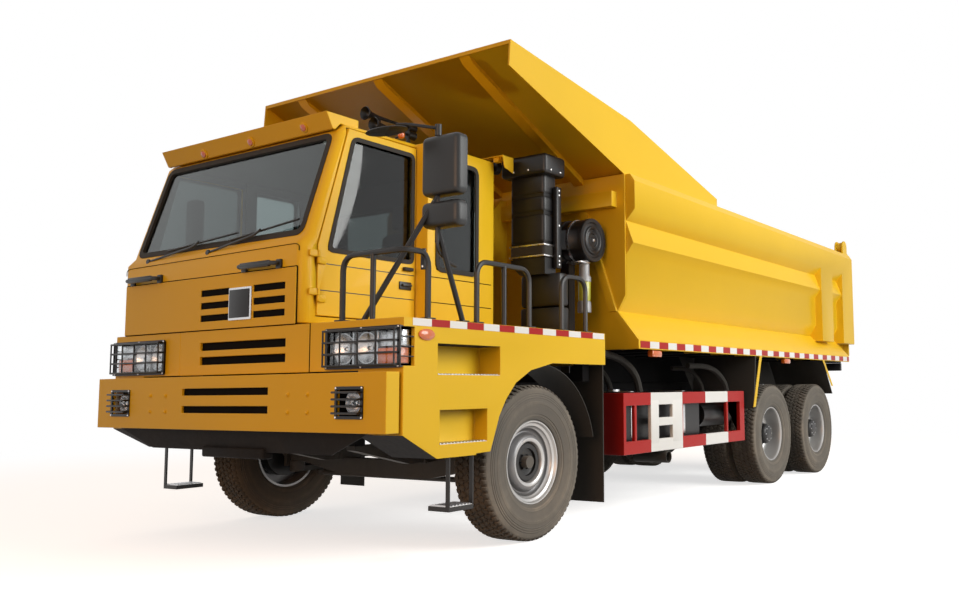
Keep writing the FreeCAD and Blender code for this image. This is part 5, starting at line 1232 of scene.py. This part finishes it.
class TRUCK_OT_cab_details(bpy.types.Operator):
    """Adds glass, window rubbers, a sticker, wipers, dark lines painted as groove shade, handles, horns and
    roof fittings
    """
    bl_idname = "truck.cab_details"
    bl_label = "Cab details"

    def execute(self, context):
        self.glass()
        self.rubbers()
        self.door_rubbers()
        self.sticker()
        self.wipers()
        self.sides()
        self.horns()
        self.lifting_eyes()
        self.work_lamp()
        return {"FINISHED"}

    def lean(self, z):
        """How far back the windshield lies at a height."""
        slope = (screen_head[0] - screen_foot[0]) / (screen_head[1] - screen_foot[1])
        return screen_foot[0] + slope * (z - screen_foot[1])

    def screen_corners(self, shift):
        """The windshield's corners, moved back by the shift."""
        low, high = screen_foot[1], screen_head[1]
        return [spot(x, self.lean(z) + shift, z) for x, z in
                ((screen_right, low), (screen_left, low), (screen_left, high), (screen_right, high))]

    def glass(self):
        # The doors' windows take the dark glass, painted as dark reflection.
        for name, look in (("cab_glass", "glass"), ("door_glass_left", "dark_glass"),
                           ("door_glass_right", "dark_glass")):
            dress(name, (look,))

    def rubbers(self):
        """Frames round the windshield, the cab's side windows and the back window."""
        bm = bmesh.new()
        rake = Vector((0.0, 0.765, -0.245)).normalized()
        add_ring(bm, self.screen_corners(-0.006), 0.0, 0.085, 0.044, rake * 0.045, 0)
        side_window = ((1.250, 1.995), (1.735, 1.995), (1.735, 2.895), (1.250, 2.895))
        for x, reach in ((0.7385, 0.012), (-1.5085, -0.012)):
            corners = [spot(x, y, z) for y, z in side_window]
            add_ring(bm, corners, 0.0, 0.080, 0.035, (reach, 0.0, 0.0), 0)
        back_y = 1.9285
        back_window = ((-1.075, 2.165), (0.195, 2.165), (0.195, 2.735), (-1.075, 2.735))
        corners = [spot(x, back_y, z) for x, z in back_window]
        add_ring(bm, corners, 0.0, 0.06, 0.035, (0.0, 0.012, 0.0), 0)
        finish("window_rubbers", bm, "chassis", ("rubber",))

    def door_rubbers(self):
        """Frames round the doors' windows, with a block under each one's rear corner."""
        low, high, back = 2.040, 2.897, 1.134
        foot = self.lean(2.054)
        head = self.lean(2.883)
        for side, x, reach in (("left", 0.628, 0.008), ("right", -1.508, -0.008)):
            bm = bmesh.new()
            window = [spot(x, foot + 0.165, low), spot(x, back, low), spot(x, back, high),
                      spot(x, head + 0.105, high)]
            add_ring(bm, window, 0.0, 0.060, 0.032, (reach, 0.0, 0.0), 0)
            x0, x1 = sorted((x, x + reach * 4))
            add_block(bm, spot(x0, 1.02, 1.985), spot(x1, 1.11, 2.012), 0.006)
            finish("door_trim_" + side, bm, side + "_door", ("rubber",))

    def sticker(self):
        """A blank white disc at the screen's upper corner."""
        bm = bmesh.new()
        z = 2.868
        add_turned(bm, [(0.0, 0.0), (0.0, 0.034), (-0.001, 0.034), (-0.001, 0.0)],
                   spot(0.470, self.lean(z) + 0.024, z), Vector((0.0, 0.952, -0.305)), 28, 0)
        finish("screen_sticker", bm, "chassis", ("white",))

    def wipers(self):
        """Two wipers, each with a pin, an arm and a blade."""
        bm = bmesh.new()
        # Each wiper's pin and its blade's two ends, as (x, height)
        for foot, low, high in (((-1.200, 2.105), (-0.98, 2.170), (-0.160, 2.232)),
                                ((-0.440, 2.110), (-0.22, 2.180), (0.500, 2.262))):
            base = spot(foot[0], self.lean(foot[1]) - 0.028, foot[1])
            start = spot(low[0], self.lean(low[1]) - 0.034, low[1])
            end = spot(high[0], self.lean(high[1]) - 0.034, high[1])
            middle = start.lerp(end, 0.5) + Vector((0.0, -0.022, 0.0))
            add_rod(bm, base + Vector((0.0, 0.03, -0.006)), base - Vector((0.0, 0.012, 0.0)), 0.020, 16)
            add_pipe(bm, [base, middle + Vector((-0.06, 0.0, -0.03)), middle], 0.0085, 0.05)
            add_rod(bm, start, end, 0.0060, 8)
            add_rod(bm, start + Vector((0.0, 0.012, 0.0)), end + Vector((0.0, 0.012, 0.0)), 0.0055, 6)
        finish("windshield_wipers", bm, "chassis", ("plastic",))

    def sides(self):
        """Dark lines painted as groove shade, and handles, on the doors, and the same painted groove shade in
        the cab's rear part.
        """
        for side, face_x, way in (("left", 0.630, 1), ("right", -1.510, -1)):
            bm = bmesh.new()
            # The doors' grooves are dark plastic lines: painted shade.
            self.grooves(bm, face_x, way, (1.773, 1.957), 0.262, 1.138)
            low, high = sorted((face_x - way * 0.001, face_x + way * 0.012))
            add_block(bm, spot(low, 0.985, 1.842), spot(high, 1.105, 1.902), 0.006)
            low, high = sorted((face_x + way * 0.006, face_x + way * 0.034))
            add_block(bm, spot(low, 1.000, 1.866), spot(high, 1.092, 1.884), 0.005)
            finish("door_handle_" + side, bm, side + "_door", ("plastic",))
        bm = bmesh.new()
        # Dark lines along the cab's rear part: painted groove shade.
        for face_x, way in ((0.740, 1), (-1.510, -1)):
            self.grooves(bm, face_x, way, (1.756, 1.950), 1.18, 1.90)
        finish("cab_side_grooves", bm, "chassis", ("dark",))

    def grooves(self, bm, face_x, way, heights, start, end):
        """Thin dark lines along a side's face, painted as the shade in its grooves."""
        half = 0.003
        low, high = sorted((face_x - way * 0.001, face_x + way * 0.0016))
        for z in heights:
            add_box(bm, spot(low, start, z - half), spot(high, end, z + half))

    def horns(self):
        """Two horns of different length, each on two stands."""
        bm = bmesh.new()
        mouth_y, roof_z = 1.0, 2.990
        for x, z, length in ((0.213, 3.262, 0.46), (0.310, 3.160, 0.36)):
            mouth = spot(x, mouth_y, z)
            bell = [(0.0, 0.052), (0.006, 0.055), (0.02, 0.045), (0.06, 0.028), (0.14, 0.016),
                    (length, 0.010), (length, 0.0)]
            add_turned(bm, bell, mouth, Y_AXIS, 24, 0)
            add_turned(bm, [(0.0, 0.052), (0.03, 0.030), (0.10, 0.0)], mouth, Y_AXIS, 24, 0)
            end_y = mouth_y + length
            add_rod(bm, spot(x, end_y, z), spot(x, end_y + 0.08, z), 0.034, 16)
            for stand_y in (mouth_y + 0.14, end_y):
                add_box(bm, spot(x - 0.010, stand_y, roof_z), spot(x + 0.010, stand_y + 0.02, z))
        finish("roof_horns", bm, "chassis", ("black",))

    def lifting_eyes(self):
        """Two upright rings at the roof's back."""
        bm = bmesh.new()
        y, half = 1.86, 0.008
        ring = [(-half, 0.026), (half, 0.026), (half, 0.044), (-half, 0.044)]
        for x in (0.400, -1.280):
            add_turned(bm, ring, spot(x, y, 3.120), X_AXIS, 20, 0, looped=True)
            add_block(bm, spot(x - half, y - 0.030, 2.990), spot(x + half, y + 0.030, 3.085), 0.002)
        finish("roof_lifting_eyes", bm, "chassis", ("yellow",))

    def work_lamp(self):
        """A lamp under a yellow bracket at the roof's rear left corner."""
        bm = bmesh.new()
        add_block(bm, spot(0.58, 1.90, 3.022), spot(0.86, 2.04, 3.030), 0.003, 0)
        cheek_x = 0.852
        cheek = ((1.93, 2.93), (2.04, 2.90), (2.04, 3.03), (1.90, 3.03))
        add_prism(bm, [spot(cheek_x, y, z) for y, z in cheek], (0.008, 0.0, 0.0), 0)
        add_block(bm, spot(0.742, 1.92, 2.985), spot(0.80, 1.97, 3.024), 0.003, 0)
        case = [(0.0, 0.0), (0.0, 0.052), (0.05, 0.058), (0.058, 0.050), (0.056, 0.0)]
        add_turned(bm, case, spot(0.70, 1.965, 2.960), Y_AXIS, 24, 1)
        add_rod(bm, spot(0.70, 1.99, 2.98), spot(0.70, 1.99, 3.024), 0.014, 12, 1)
        finish("rear_work_lamp", bm, "chassis", ("yellow", "black"))


class TRUCK_OT_seats(bpy.types.Operator):
    """Builds the two padded seats"""
    bl_idname = "truck.seats"
    bl_label = "Seats"

    def execute(self, context):
        low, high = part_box("seats")
        width = 0.48
        y0, y1 = low.y, high.y
        for side, x0 in (("mate", high.x - width), ("driver", low.x)):
            bm = bmesh.new()
            self.cushion(bm, Vector((x0, y0, 1.840)), Vector((x0 + width, y1 - 0.13, 1.990)))
            self.cushion(bm, Vector((x0, y1 - 0.15, 1.870)), Vector((x0 + width, y1, 2.42)))
            self.cushion(bm, Vector((x0 + 0.10, y1 - 0.13, 2.43)), Vector((x0 + 0.38, y1 - 0.02, 2.64)))
            made = finish(side + "_seat", bm, "chassis", ("fabric",),
                          ("seats",) if side == "driver" else (), sharp=80.0)
            smooth = made.modifiers.new("soft", "SUBSURF")
            smooth.levels = smooth.render_levels = 2
        bm = bmesh.new()
        for x0 in (low.x, high.x - width):
            add_block(bm, Vector((x0 + 0.075, y0 + 0.075, 1.602)), Vector((x0 + 0.405, y1 - 0.15, 1.842)),
                      0.02)
        finish("seat_bases", bm, "chassis", ("plastic",))
        return {"FINISHED"}

    def cushion(self, bm, low, high):
        """A crowned cushion whose sides pull in between its corners."""
        pad = bmesh.new()
        bmesh.ops.create_cube(pad, size=1.0)
        bmesh.ops.subdivide_edges(pad, edges=pad.edges, cuts=4, use_grid_fill=True)
        for vert in pad.verts:
            x, y, z = vert.co
            pull = 0.94 + 0.06 * (abs(2 * x) ** 2 * abs(2 * y) ** 2 + abs(2 * z) ** 2) / 2
            crown = 0.90 + 0.10 * (1 - (2 * x) ** 2) * (1 - (2 * y) ** 2)
            vert.co = Vector((x * pull, y * pull, z * crown))
        bmesh.ops.scale(pad, vec=high - low, verts=pad.verts)
        bmesh.ops.translate(pad, vec=(low + high) / 2, verts=pad.verts)
        join_in(bm, pad)


# Mirrors, handrails and what stands on the left deck
class TRUCK_OT_deck_fittings(bpy.types.Operator):
    """Builds the mirrors, handrails, intake stack and air filter's end"""
    bl_idname = "truck.deck_fittings"
    bl_label = "Deck fittings"

    def execute(self, context):
        self.left_mirrors()
        self.right_mirrors()
        self.rails()
        self.stack()
        self.filter_end()
        return {"FINISHED"}

    def head(self, bm, low, high, index=0):
        """A mirror's shell, rounded at the front, with the glass on its back."""
        made = add_box(bm, low, high, index)
        edges = list({edge for vert in made for edge in vert.link_edges
                      if min(one.co.y for one in edge.verts) < (low.y + high.y) / 2})
        bmesh.ops.bevel(bm, geom=edges, offset=0.042, offset_type="OFFSET", segments=4, profile=0.5,
                        affect="EDGES", clamp_overlap=True, material=-1)
        add_block(bm, Vector((low.x + 0.014, high.y - 0.001, low.z + 0.014)),
                  Vector((high.x - 0.014, high.y + 0.003, high.z - 0.014)), 0.0015, 1)

    def heads(self, bm, x0, x1, y):
        """A tall mirror over a short one."""
        front, depth = spot(0, y, 0).y, 0.092
        for z0, z1 in ((2.350, 2.750), (2.140, 2.312)):
            self.head(bm, Vector((x0, front, z0)), Vector((x1, front + depth, z1)))

    def left_mirrors(self):
        """Two mirrors on a post that two stays hold, with an arm to a round mirror over the fender."""
        bm = bmesh.new()
        self.heads(bm, 1.370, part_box("mirror_left")[1].x, 0.450)
        post_x, post_y, deck = 1.485, 0.4975, 1.536
        post_radius, stay_radius, arm_radius = 0.0155, 0.0185, 0.011
        feet = ((1.120, 0.216), (1.530, 0.695))
        add_pipe(bm, [spot(post_x, post_y, 2.045), spot(post_x, post_y, 2.800)], post_radius, 0.03, 2)
        for (x, y), z in zip(feet, (2.350, 2.140)):
            add_pipe(bm, [spot(x, y, deck), spot(post_x, post_y, z)], stay_radius, 0.05, 2)
        tail = [spot(post_x, post_y, 2.07), spot(post_x, post_y, 1.99), spot(1.47, 0.62, 1.93),
                spot(1.46, 0.70, 1.915)]
        add_pipe(bm, tail, arm_radius, 0.05, 2)
        add_rod(bm, spot(post_x, post_y, 2.755), spot(post_x, post_y, 2.830), 0.022, 16, 0)
        arm = [spot(post_x, post_y, 2.805), spot(1.36, 0.340, 2.815), spot(1.29, 0.310, 2.815)]
        add_pipe(bm, arm, arm_radius, 0.08, 2)
        dish = [(0.0, 0.0), (0.030, 0.0), (0.034, 0.04), (0.026, 0.10), (0.006, 0.138), (-0.004, 0.142),
                (-0.010, 0.138), (-0.010, 0.0)]
        bowl = bmesh.new()
        add_turned(bowl, dish, Vector((0, 0, 0)), Z_AXIS, 28, 0)
        bmesh.ops.scale(bowl, vec=(1.25, 0.62, 0.42), verts=bowl.verts)
        bmesh.ops.translate(bowl, vec=spot(1.210, 0.305, 2.785), verts=bowl.verts)
        join_in(bm, bowl)
        half = 0.032
        for x, y in feet:
            add_block(bm, spot(x - half, y - half, 1.5353), spot(x + half, y + half, 1.5473), 0.003, 2)
        finish("left_mirror_set", bm, "chassis", ("plastic", "mirror", "black"),
               ("mirror_left",))

    def right_mirrors(self):
        """Two mirrors on a bent arm that the right door carries."""
        outer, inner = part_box("mirror_right")[0].x, -1.555
        bm = bmesh.new()
        self.heads(bm, outer, inner, 0.725)
        x, y, z = (outer + inner) / 2, 0.7725, 1.961
        add_pipe(bm, [spot(x, y, 2.745), spot(x, y, z), spot(-1.520, 0.405, z)], 0.0155, 0.08, 2)
        add_block(bm, spot(-1.534, 0.358, 1.914), spot(-1.5105, 0.452, 2.008), 0.004, 2)
        finish("right_mirror_set", bm, "right_door", ("plastic", "mirror", "black"),
               ("mirror_right",))

    def rails(self):
        """Three handrails on the left deck, with their feet and a small plate."""
        bm = bmesh.new()
        r = sizes().rail
        deck = 1.5353
        top = 1.960
        x1 = 1.530
        runs = (
            [(0.975, 0.171, deck), (0.975, 0.171, top), (1.500, 0.171, top), (x1, 0.216, top),
             (x1, 0.372, top), (x1, 0.372, deck)],
            [(x1, 0.830, deck), (x1, 0.830, top), (x1, 1.400, top), (x1, 1.400, deck)],
            [(x1, 1.800, deck), (x1, 1.800, top), (x1, 2.120, top), (x1, 2.120, deck)])
        half = 0.036
        for run in runs:
            add_pipe(bm, [spot(*point) for point in run], r, 0.095)
            for x, y, z in (run[0], run[-1]):
                add_block(bm, spot(x - half, y - half, z), spot(x + half, y + half, z + 0.010), 0.003)
        for x, y in ((1.2525, 0.171), (x1, 1.115)):
            add_rod(bm, spot(x, y, deck), spot(x, y, top), r * 0.95, 14)
        plate_y = 0.340
        add_block(bm, spot(1.492, plate_y, 1.850), spot(1.530, 0.354, 1.985), 0.004)
        for z in (1.870, 1.965):
            add_dome(bm, spot(1.511, plate_y, z), -Y_AXIS, 0.008, 1)
        finish("deck_handrails", bm, "chassis", ("black", "steel"), ("handrails",))

    def stack(self):
        """The intake's body, clamped sleeve, elbow, foot and hood."""
        bm = bmesh.new()
        x0, x1, y0, y1 = 0.745, 1.105, 2.140, 2.310
        for z0, z1 in ((2.305, 2.560), (2.566, 2.712), (2.718, 2.900)):
            add_block(bm, spot(x0, y0, z0), spot(x1, y1, z1), 0.030, 0, 4)
        add_box(bm, spot(x0 + 0.008, y0 + 0.008, 2.20), spot(x1 - 0.008, y1 - 0.004, 2.89), 0)
        add_block(bm, spot(x0 - 0.004, y0 - 0.004, 2.180), spot(x1 + 0.004, y1, 2.310), 0.032, 2, 4)
        more = 0.008
        for z in (2.200, 2.292):
            add_block(bm, spot(x0 - more, y0 - more, z - more), spot(x1 + more, y1, z + more), 0.006, 1, 3)
        elbow = ((x0, 2.182), (x1, 2.182), (x1, 2.045), (x0 + 0.10, 2.045), (x0, 2.14))
        add_prism(bm, [spot(x, y0 + 0.01, z) for x, z in elbow], (0.0, y1 - y0 - 0.02, 0.0), 0)
        self.hood(bm, x0 - 0.060, x1 + 0.060, y0 - 0.060, y1 + 0.060)
        add_block(bm, spot(x0 + 0.06, y0 + 0.06, 1.5355), spot(x1 + 0.12, y1 + 0.02, 1.770), 0.02, 0)
        add_block(bm, spot(x0 + 0.06, y0 + 0.06, 1.774), spot(x1 + 0.12, y1 + 0.02, 2.055), 0.03, 0)
        add_block(bm, spot(x1 + 0.006, 2.255, 2.100), spot(x1 + 0.050, 2.318, 2.790), 0.006, 0)
        add_block(bm, spot(x1 - 0.01, 2.27, 2.74), spot(x1 + 0.03, 2.31, 2.78), 0.004, 0)
        for z in (2.13, 2.16, 2.20, 2.46, 2.72, 2.76):
            add_dome(bm, spot(x1 + 0.050, 2.285, z), X_AXIS, 0.010, 1)
        finish("intake_housing", bm, "chassis", ("black", "steel", "rubber"),
               ("intake_stack",))

    def hood(self, bm, x0, x1, y0, y1):
        """The overhanging hood with the bolts on its front."""
        low, high = 2.880, 3.050
        add_block(bm, spot(x0, y0, low), spot(x1, y1, high), 0.030, 0, 4)
        for x in (x0 + 0.145, x0 + 0.300):
            add_dome(bm, spot(x, y0, low + 0.040), -Y_AXIS, 0.010, 1)
        for y in (y0 + 0.08, y1 - 0.08):
            add_dome(bm, spot(x1, y, low + 0.035), X_AXIS, 0.010, 1)

    def filter_end(self):
        """The air filter's ringed cap, its rim and bands, and the dust bowl under it."""
        bm = bmesh.new()
        cap_x, y, z = 1.2645, 2.640, 2.375
        rings = [(0.010, 0.0), (0.010, 0.022), (0.0, 0.030), (0.0, 0.052), (0.012, 0.060), (0.014, 0.070),
                 (0.006, 0.078), (0.004, 0.092), (0.016, 0.100), (0.020, 0.110), (0.016, 0.120),
                 (0.004, 0.126), (0.002, 0.148), (0.014, 0.158), (0.016, 0.178)]
        rim = [(-0.002, 0.174), (0.000, 0.186), (-0.004, 0.1895), (-0.040, 0.1905), (-0.040, 0.186)]
        band = [(0.0, 0.186), (0.0, 0.191), (0.02, 0.191), (0.02, 0.186)]
        cap = spot(cap_x, y, z)
        add_turned(bm, [(along - 0.016, radius) for along, radius in rings], cap, X_AXIS, 48, 0)
        add_turned(bm, rim, cap, X_AXIS, 48, 0)
        for x in (0.78, 1.10):
            add_turned(bm, band, spot(x, y, z), X_AXIS, 48, 1)
        add_turned(bm, [(-0.006, 0.014), (0.004, 0.012), (0.006, 0.0)], cap, X_AXIS, 16, 1)
        add_block(bm, spot(1.10, 2.46, 2.165), spot(1.255, 2.60, 2.177), 0.003, 1)
        finish("air_filter_end", bm, "chassis", ("black", "steel"))
        bm = bmesh.new()
        x, y = 1.190, 2.600
        bowl = [(0.0, 0.0), (0.0, 0.050), (-0.012, 0.056), (-0.16, 0.054), (-0.175, 0.050), (-0.180, 0.0)]
        lid = [(-0.02, 0.0), (-0.02, 0.060), (0.02, 0.060), (0.04, 0.045), (0.165, 0.045), (0.17, 0.0)]
        foot = [(0.0, 0.0), (0.0, 0.058), (0.012, 0.060), (0.09, 0.058), (0.10, 0.050), (0.10, 0.0)]
        for profile, z, index in ((bowl, 2.020, 1), (lid, 2.030, 0), (foot, 1.745, 0)):
            add_turned(bm, profile, spot(x, y, z), Z_AXIS, 24, index)
        finish("dust_bowl", bm, "chassis", ("grey", "bowl"))


# Flanks
class TRUCK_OT_flanks(bpy.types.Operator):
    """Bands the side guards and fits tank straps, treads, side lamps, wheel liners, leaves and hoses"""
    bl_idname = "truck.flanks"
    bl_label = "Flanks"

    def execute(self, context):
        self.guards()
        self.tanks()
        self.treads()
        self.liners()
        self.springs()
        self.hoses()
        return {"FINISHED"}

    def guards(self):
        """The side guards in red and white bands, with plates and posts."""
        bm = copy_of("side_guards")
        cuts = (3.165, 3.752, 4.230, 4.735)
        for y in cuts:
            geom = list(bm.verts) + list(bm.edges) + list(bm.faces)
            bmesh.ops.bisect_plane(bm, geom=geom, plane_co=spot(0, y, 0), plane_no=Y_AXIS)
        for face in bm.faces:
            y = face.calc_center_median().y - front_y
            band = sum(1 for cut in cuts if y > cut)
            face.material_index = band % 2
        finish("side_guard_bands", bm, "chassis", ("red", "white"), ("side_guards",),
               edge=0.004, turn=False)
        bm = bmesh.new()
        for side in both:
            x0, x1 = sorted((side * 1.478, side * 1.5105))
            for y0, y1 in ((3.166, 3.306), (3.560, 3.750)):
                add_block(bm, spot(x0, y0, 0.600), spot(x1, y1, 0.984), 0.003, 1)
            for y in (2.905, 4.722):
                add_block(bm, spot(x0, y - 0.018, 0.636), spot(x1, y + 0.018, 0.946), 0.004, 0)
        finish("side_guard_posts", bm, "chassis", ("red", "white"))

    def tanks(self):
        """Two straps round the fuel tank, and its cap."""
        dress("tanks", ("black",))
        bm = bmesh.new()
        inner, outer, width = 0.770, 1.405, 0.05
        for y in (3.00, 3.95):
            add_block(bm, spot(inner, y, 1.058), spot(outer, y + width, 1.066), 0.003)
            add_block(bm, spot(1.398, y, 0.66), spot(1.406, y + width, 0.97), 0.003)
            add_block(bm, spot(inner, y, 0.554), spot(outer, y + width, 0.562), 0.003)
        cap = [(0.0, 0.055), (0.028, 0.055), (0.034, 0.048), (0.034, 0.0)]
        add_turned(bm, cap, spot(1.15, 3.12, 1.055), Z_AXIS, 24, 0)
        finish("tank_straps", bm, "chassis", ("steel",))

    def treads(self):
        """Ribbed plates on the steps, and the fenders' oval side lamps."""
        # Each step's inner and outer edge, its front and back, and its height
        plates = ((1.387, 1.574, 0.424, 1.019, 1.1875), (1.464, 1.574, 0.446, 0.887, 0.7505),
                  (1.382, 1.558, 0.549, 0.771, 0.3505))
        pitch, half = 0.030, 0.005
        bm = bmesh.new()
        for side in both:
            for x0, x1, y0, y1, z in plates:
                low, high = sorted((side * x0, side * x1))
                add_box(bm, spot(low, y0, z), spot(high, y1, z + 0.003))
                count = int((y1 - y0) / pitch)
                for step in range(count):
                    y = y0 + (step + 0.5) * (y1 - y0) / count
                    add_box(bm, spot(low + 0.01, y - half, z + 0.002), spot(high - 0.01, y + half, z + 0.008))
        finish("step_treads", bm, "chassis", ("steel",))
        lens = [(0.0, 0.0), (0.0, 0.034), (0.008, 0.036), (0.018, 0.026), (0.021, 0.0)]
        lamp_x, lamp_y, lamp_z, stretch = 1.5745, 0.315, 1.435, 1.9
        bm = bmesh.new()
        for side in both:
            add_turned(bm, lens, spot(side * lamp_x, lamp_y, lamp_z), X_AXIS * side, 28, 0)
        middle = spot(0, lamp_y, 0).y
        for vert in bm.verts:
            vert.co.y = middle + (vert.co.y - middle) * stretch
        finish("fender_lamps", bm, "chassis", ("amber",))

    def liners(self):
        """Curved sheets over and behind the front wheels."""
        bm = bmesh.new()
        axle = Vector((0.0, spot(0, 1.496, 0).y, tyre_radius))
        radius, turn = 0.715, math.radians(-78.0)
        for side in both:
            low, high = sorted((side * 1.215, side * 1.548))
            verts = [bm.verts.new((x, axle.y, axle.z + radius)) for x in (low, high)]
            edge = bm.edges.new(verts)
            bmesh.ops.spin(bm, geom=verts + [edge], cent=axle, axis=X_AXIS, angle=turn, steps=14)
        bmesh.ops.solidify(bm, geom=list(bm.faces), thickness=0.006)
        finish("front_wheel_liners", bm, "chassis", ("rubber",))

    def springs(self):
        """The leaf packs, and two clamps round each."""
        bm = copy_of("leaf_springs")
        finish("leaf_spring_packs", bm, "chassis", ("iron",), ("leaf_springs",),
               turn=False)
        bm = bmesh.new()
        half = 0.014
        for side in both:
            low, high = sorted((side * 0.422, side * 0.538))
            for y, z0, z1 in ((1.496, 0.53, 0.66), (6.6435, 0.62, 0.83)):
                for place in (y - 0.11, y + 0.11):
                    add_block(bm, spot(low, place - half, z0), spot(high, place + half, z1), 0.006)
        finish("spring_clamps", bm, "chassis", ("iron",))

    def hoses(self):
        """Hoses behind the cab and the tanks, and a short open tube beside the side guard."""
        bm = bmesh.new()
        end_z = 1.03
        for x, y, z, length, radius in ((1.20, 2.45, 1.40, 0.95, 0.034), (0.95, 2.45, 1.36, 0.85, 0.026),
                                        (1.20, 4.45, 1.32, 0.80, 0.030), (0.98, 4.50, 1.30, 0.60, 0.024)):
            run = [spot(x, y, z), spot(x + 0.04, y + length * 0.55, z),
                   spot(x + 0.06, y + length * 0.9, z - 0.14), spot(x + 0.06, y + length, end_z)]
            add_pipe(bm, run, radius, 0.20)
        tube = [(0.0, 0.046), (0.0, 0.055), (-0.35, 0.055), (-0.35, 0.046)]
        add_turned(bm, tube, spot(1.530, 3.44, 0.470), X_AXIS, 24, 0, looped=True)
        finish("brake_hoses", bm, "chassis", ("rubber",))


# Tape
class TRUCK_OT_tape(bpy.types.Operator):
    """Lays the red and white reflective tape along the fenders and the bed"""
    bl_idname = "truck.tape"
    bl_label = "Tape"

    def execute(self, context):
        face_x = 1.5755
        bm = bmesh.new()
        for side in both:
            self.strip(bm, side * face_x, 0.199, 2.318, 1.487, 1.533, 0, side)
        finish("fender_tape", bm, "chassis", ("tape_white", "tape_red"))
        bm = bmesh.new()
        for side in both:
            self.strip(bm, side * face_x, 2.890, 8.518, 1.440, 1.500, 1, side)
        finish("bed_tape", bm, "bed", ("tape_white", "tape_red"))
        return {"FINISHED"}

    def strip(self, bm, x, start, end, low, high, first, side):
        """Pieces of both colours in turn; the last one is cut at the end."""
        step = sizes().tape
        count = int(math.ceil((end - start) / step - 0.05))
        for place in range(count):
            y0 = start + place * step
            y1 = min(y0 + step - 0.002, end)
            a, b = sorted((x, x + side * 0.0015))
            add_box(bm, spot(a, y0, low), spot(b, y1, high), (place + first) % 2)


# Bed
class TRUCK_OT_bed_details(bpy.types.Operator):
    """Adds the bed's side lamps, the mudguards' stays, dark sheets under the bed as painted shade, and the
    tail lamps
    """
    bl_idname = "truck.bed_details"
    bl_label = "Bed details"

    def execute(self, context):
        bm = bmesh.new()
        for side in both:
            for y in (3.205, 6.290):
                low, high = sorted((side * 1.505, side * 1.566))
                add_block(bm, spot(low, y - 0.085, 1.366), spot(high, y + 0.085, 1.428), 0.016, 0)
        finish("bed_side_lamps", bm, "bed", ("amber",))
        bm = bmesh.new()
        for side in both:
            self.stay(bm, side, (5.47, 1.432), (5.27, 0.88))
            self.stay(bm, side, (7.485, 1.432), (7.800, 1.10))
        finish("mudguard_stays", bm, "bed", ("yellow",))
        # Dark sheets between the wheels under the bed: painted shade in the space there.
        plate = ((5.00, 1.432), (7.80, 1.432), (7.96, 1.02), (7.55, 1.02), (7.30, 1.14), (5.90, 1.14),
                 (5.36, 0.98))
        bm = bmesh.new()
        for side in both:
            low, high = sorted((side * 0.800, side * 0.806))
            add_prism(bm, [spot(low, y, z) for y, z in plate], (high - low, 0.0, 0.0))
        finish("mudguard_inner_plates", bm, "bed", ("rubber",))
        self.tail()
        return {"FINISHED"}

    def stay(self, bm, side, top, foot):
        low, high = sorted((side * 1.5705, side * 1.5745))
        add_prism(bm, [spot(low, top[0] - 0.032, top[1]), spot(low, top[0] + 0.032, top[1]),
                       spot(low, foot[0] + 0.030, foot[1]), spot(low, foot[0] - 0.030, foot[1])],
                  (high - low, 0.0, 0.0))

    def tail(self):
        """A bar with three round lamps on each side."""
        lens = [(0.0, 0.046), (0.010, 0.044), (0.016, 0.030), (0.018, 0.0)]
        bm = bmesh.new()
        for side in both:
            low, high = sorted((side * 0.98, side * 1.34))
            add_block(bm, spot(low, 8.845, 1.318), spot(high, 8.905, 1.428), 0.010, 0)
            for place in range(3):
                x = side * (1.04 + 0.12 * place)
                index = 2 if place == 1 else 1
                add_turned(bm, lens, spot(x, 8.904, 1.373), Y_AXIS, 24, index)
        finish("tail_lamps", bm, "bed", ("black", "red_lens", "amber"))


class TRUCK_PT_panel(bpy.types.Panel):
    """Lists the truck's steps and its sizes and colours"""
    bl_label = "Dump truck"
    bl_idname = "TRUCK_PT_panel"
    bl_space_type = "VIEW_3D"
    bl_region_type = "UI"
    bl_category = "Dump truck"

    def draw(self, context):
        layout = self.layout
        for operator in operators:
            layout.operator(operator.bl_idname)
        for group in (paints(), sizes()):
            for key in group.__annotations__:
                layout.prop(group, key)


operators = (
    TRUCK_OT_stage, TRUCK_OT_bodywork, TRUCK_OT_ironwork, TRUCK_OT_tyres, TRUCK_OT_rims,
    TRUCK_OT_front_panels, TRUCK_OT_lamps, TRUCK_OT_cab_details, TRUCK_OT_seats, TRUCK_OT_deck_fittings,
    TRUCK_OT_flanks, TRUCK_OT_tape, TRUCK_OT_bed_details)
classes = (TruckPaints, TruckSizes) + operators + (TRUCK_PT_panel,)


def register():
    for one in classes:
        bpy.utils.register_class(one)
    bpy.types.Scene.truck_paints = PointerProperty(type=TruckPaints)
    bpy.types.Scene.truck_sizes = PointerProperty(type=TruckSizes)


def unregister():
    del bpy.types.Scene.truck_sizes
    del bpy.types.Scene.truck_paints
    for one in reversed(classes):
        bpy.utils.unregister_class(one)


def main():
    register()
    bpy.ops.truck.stage()
    bpy.ops.truck.bodywork()
    bpy.ops.truck.ironwork()
    bpy.ops.truck.tyres()
    bpy.ops.truck.rims()
    bpy.ops.truck.front_panels()
    bpy.ops.truck.lamps()
    bpy.ops.truck.cab_details()
    bpy.ops.truck.seats()
    bpy.ops.truck.deck_fittings()
    bpy.ops.truck.flanks()
    bpy.ops.truck.tape()
    bpy.ops.truck.bed_details()


if __name__ == "__main__":
    main()
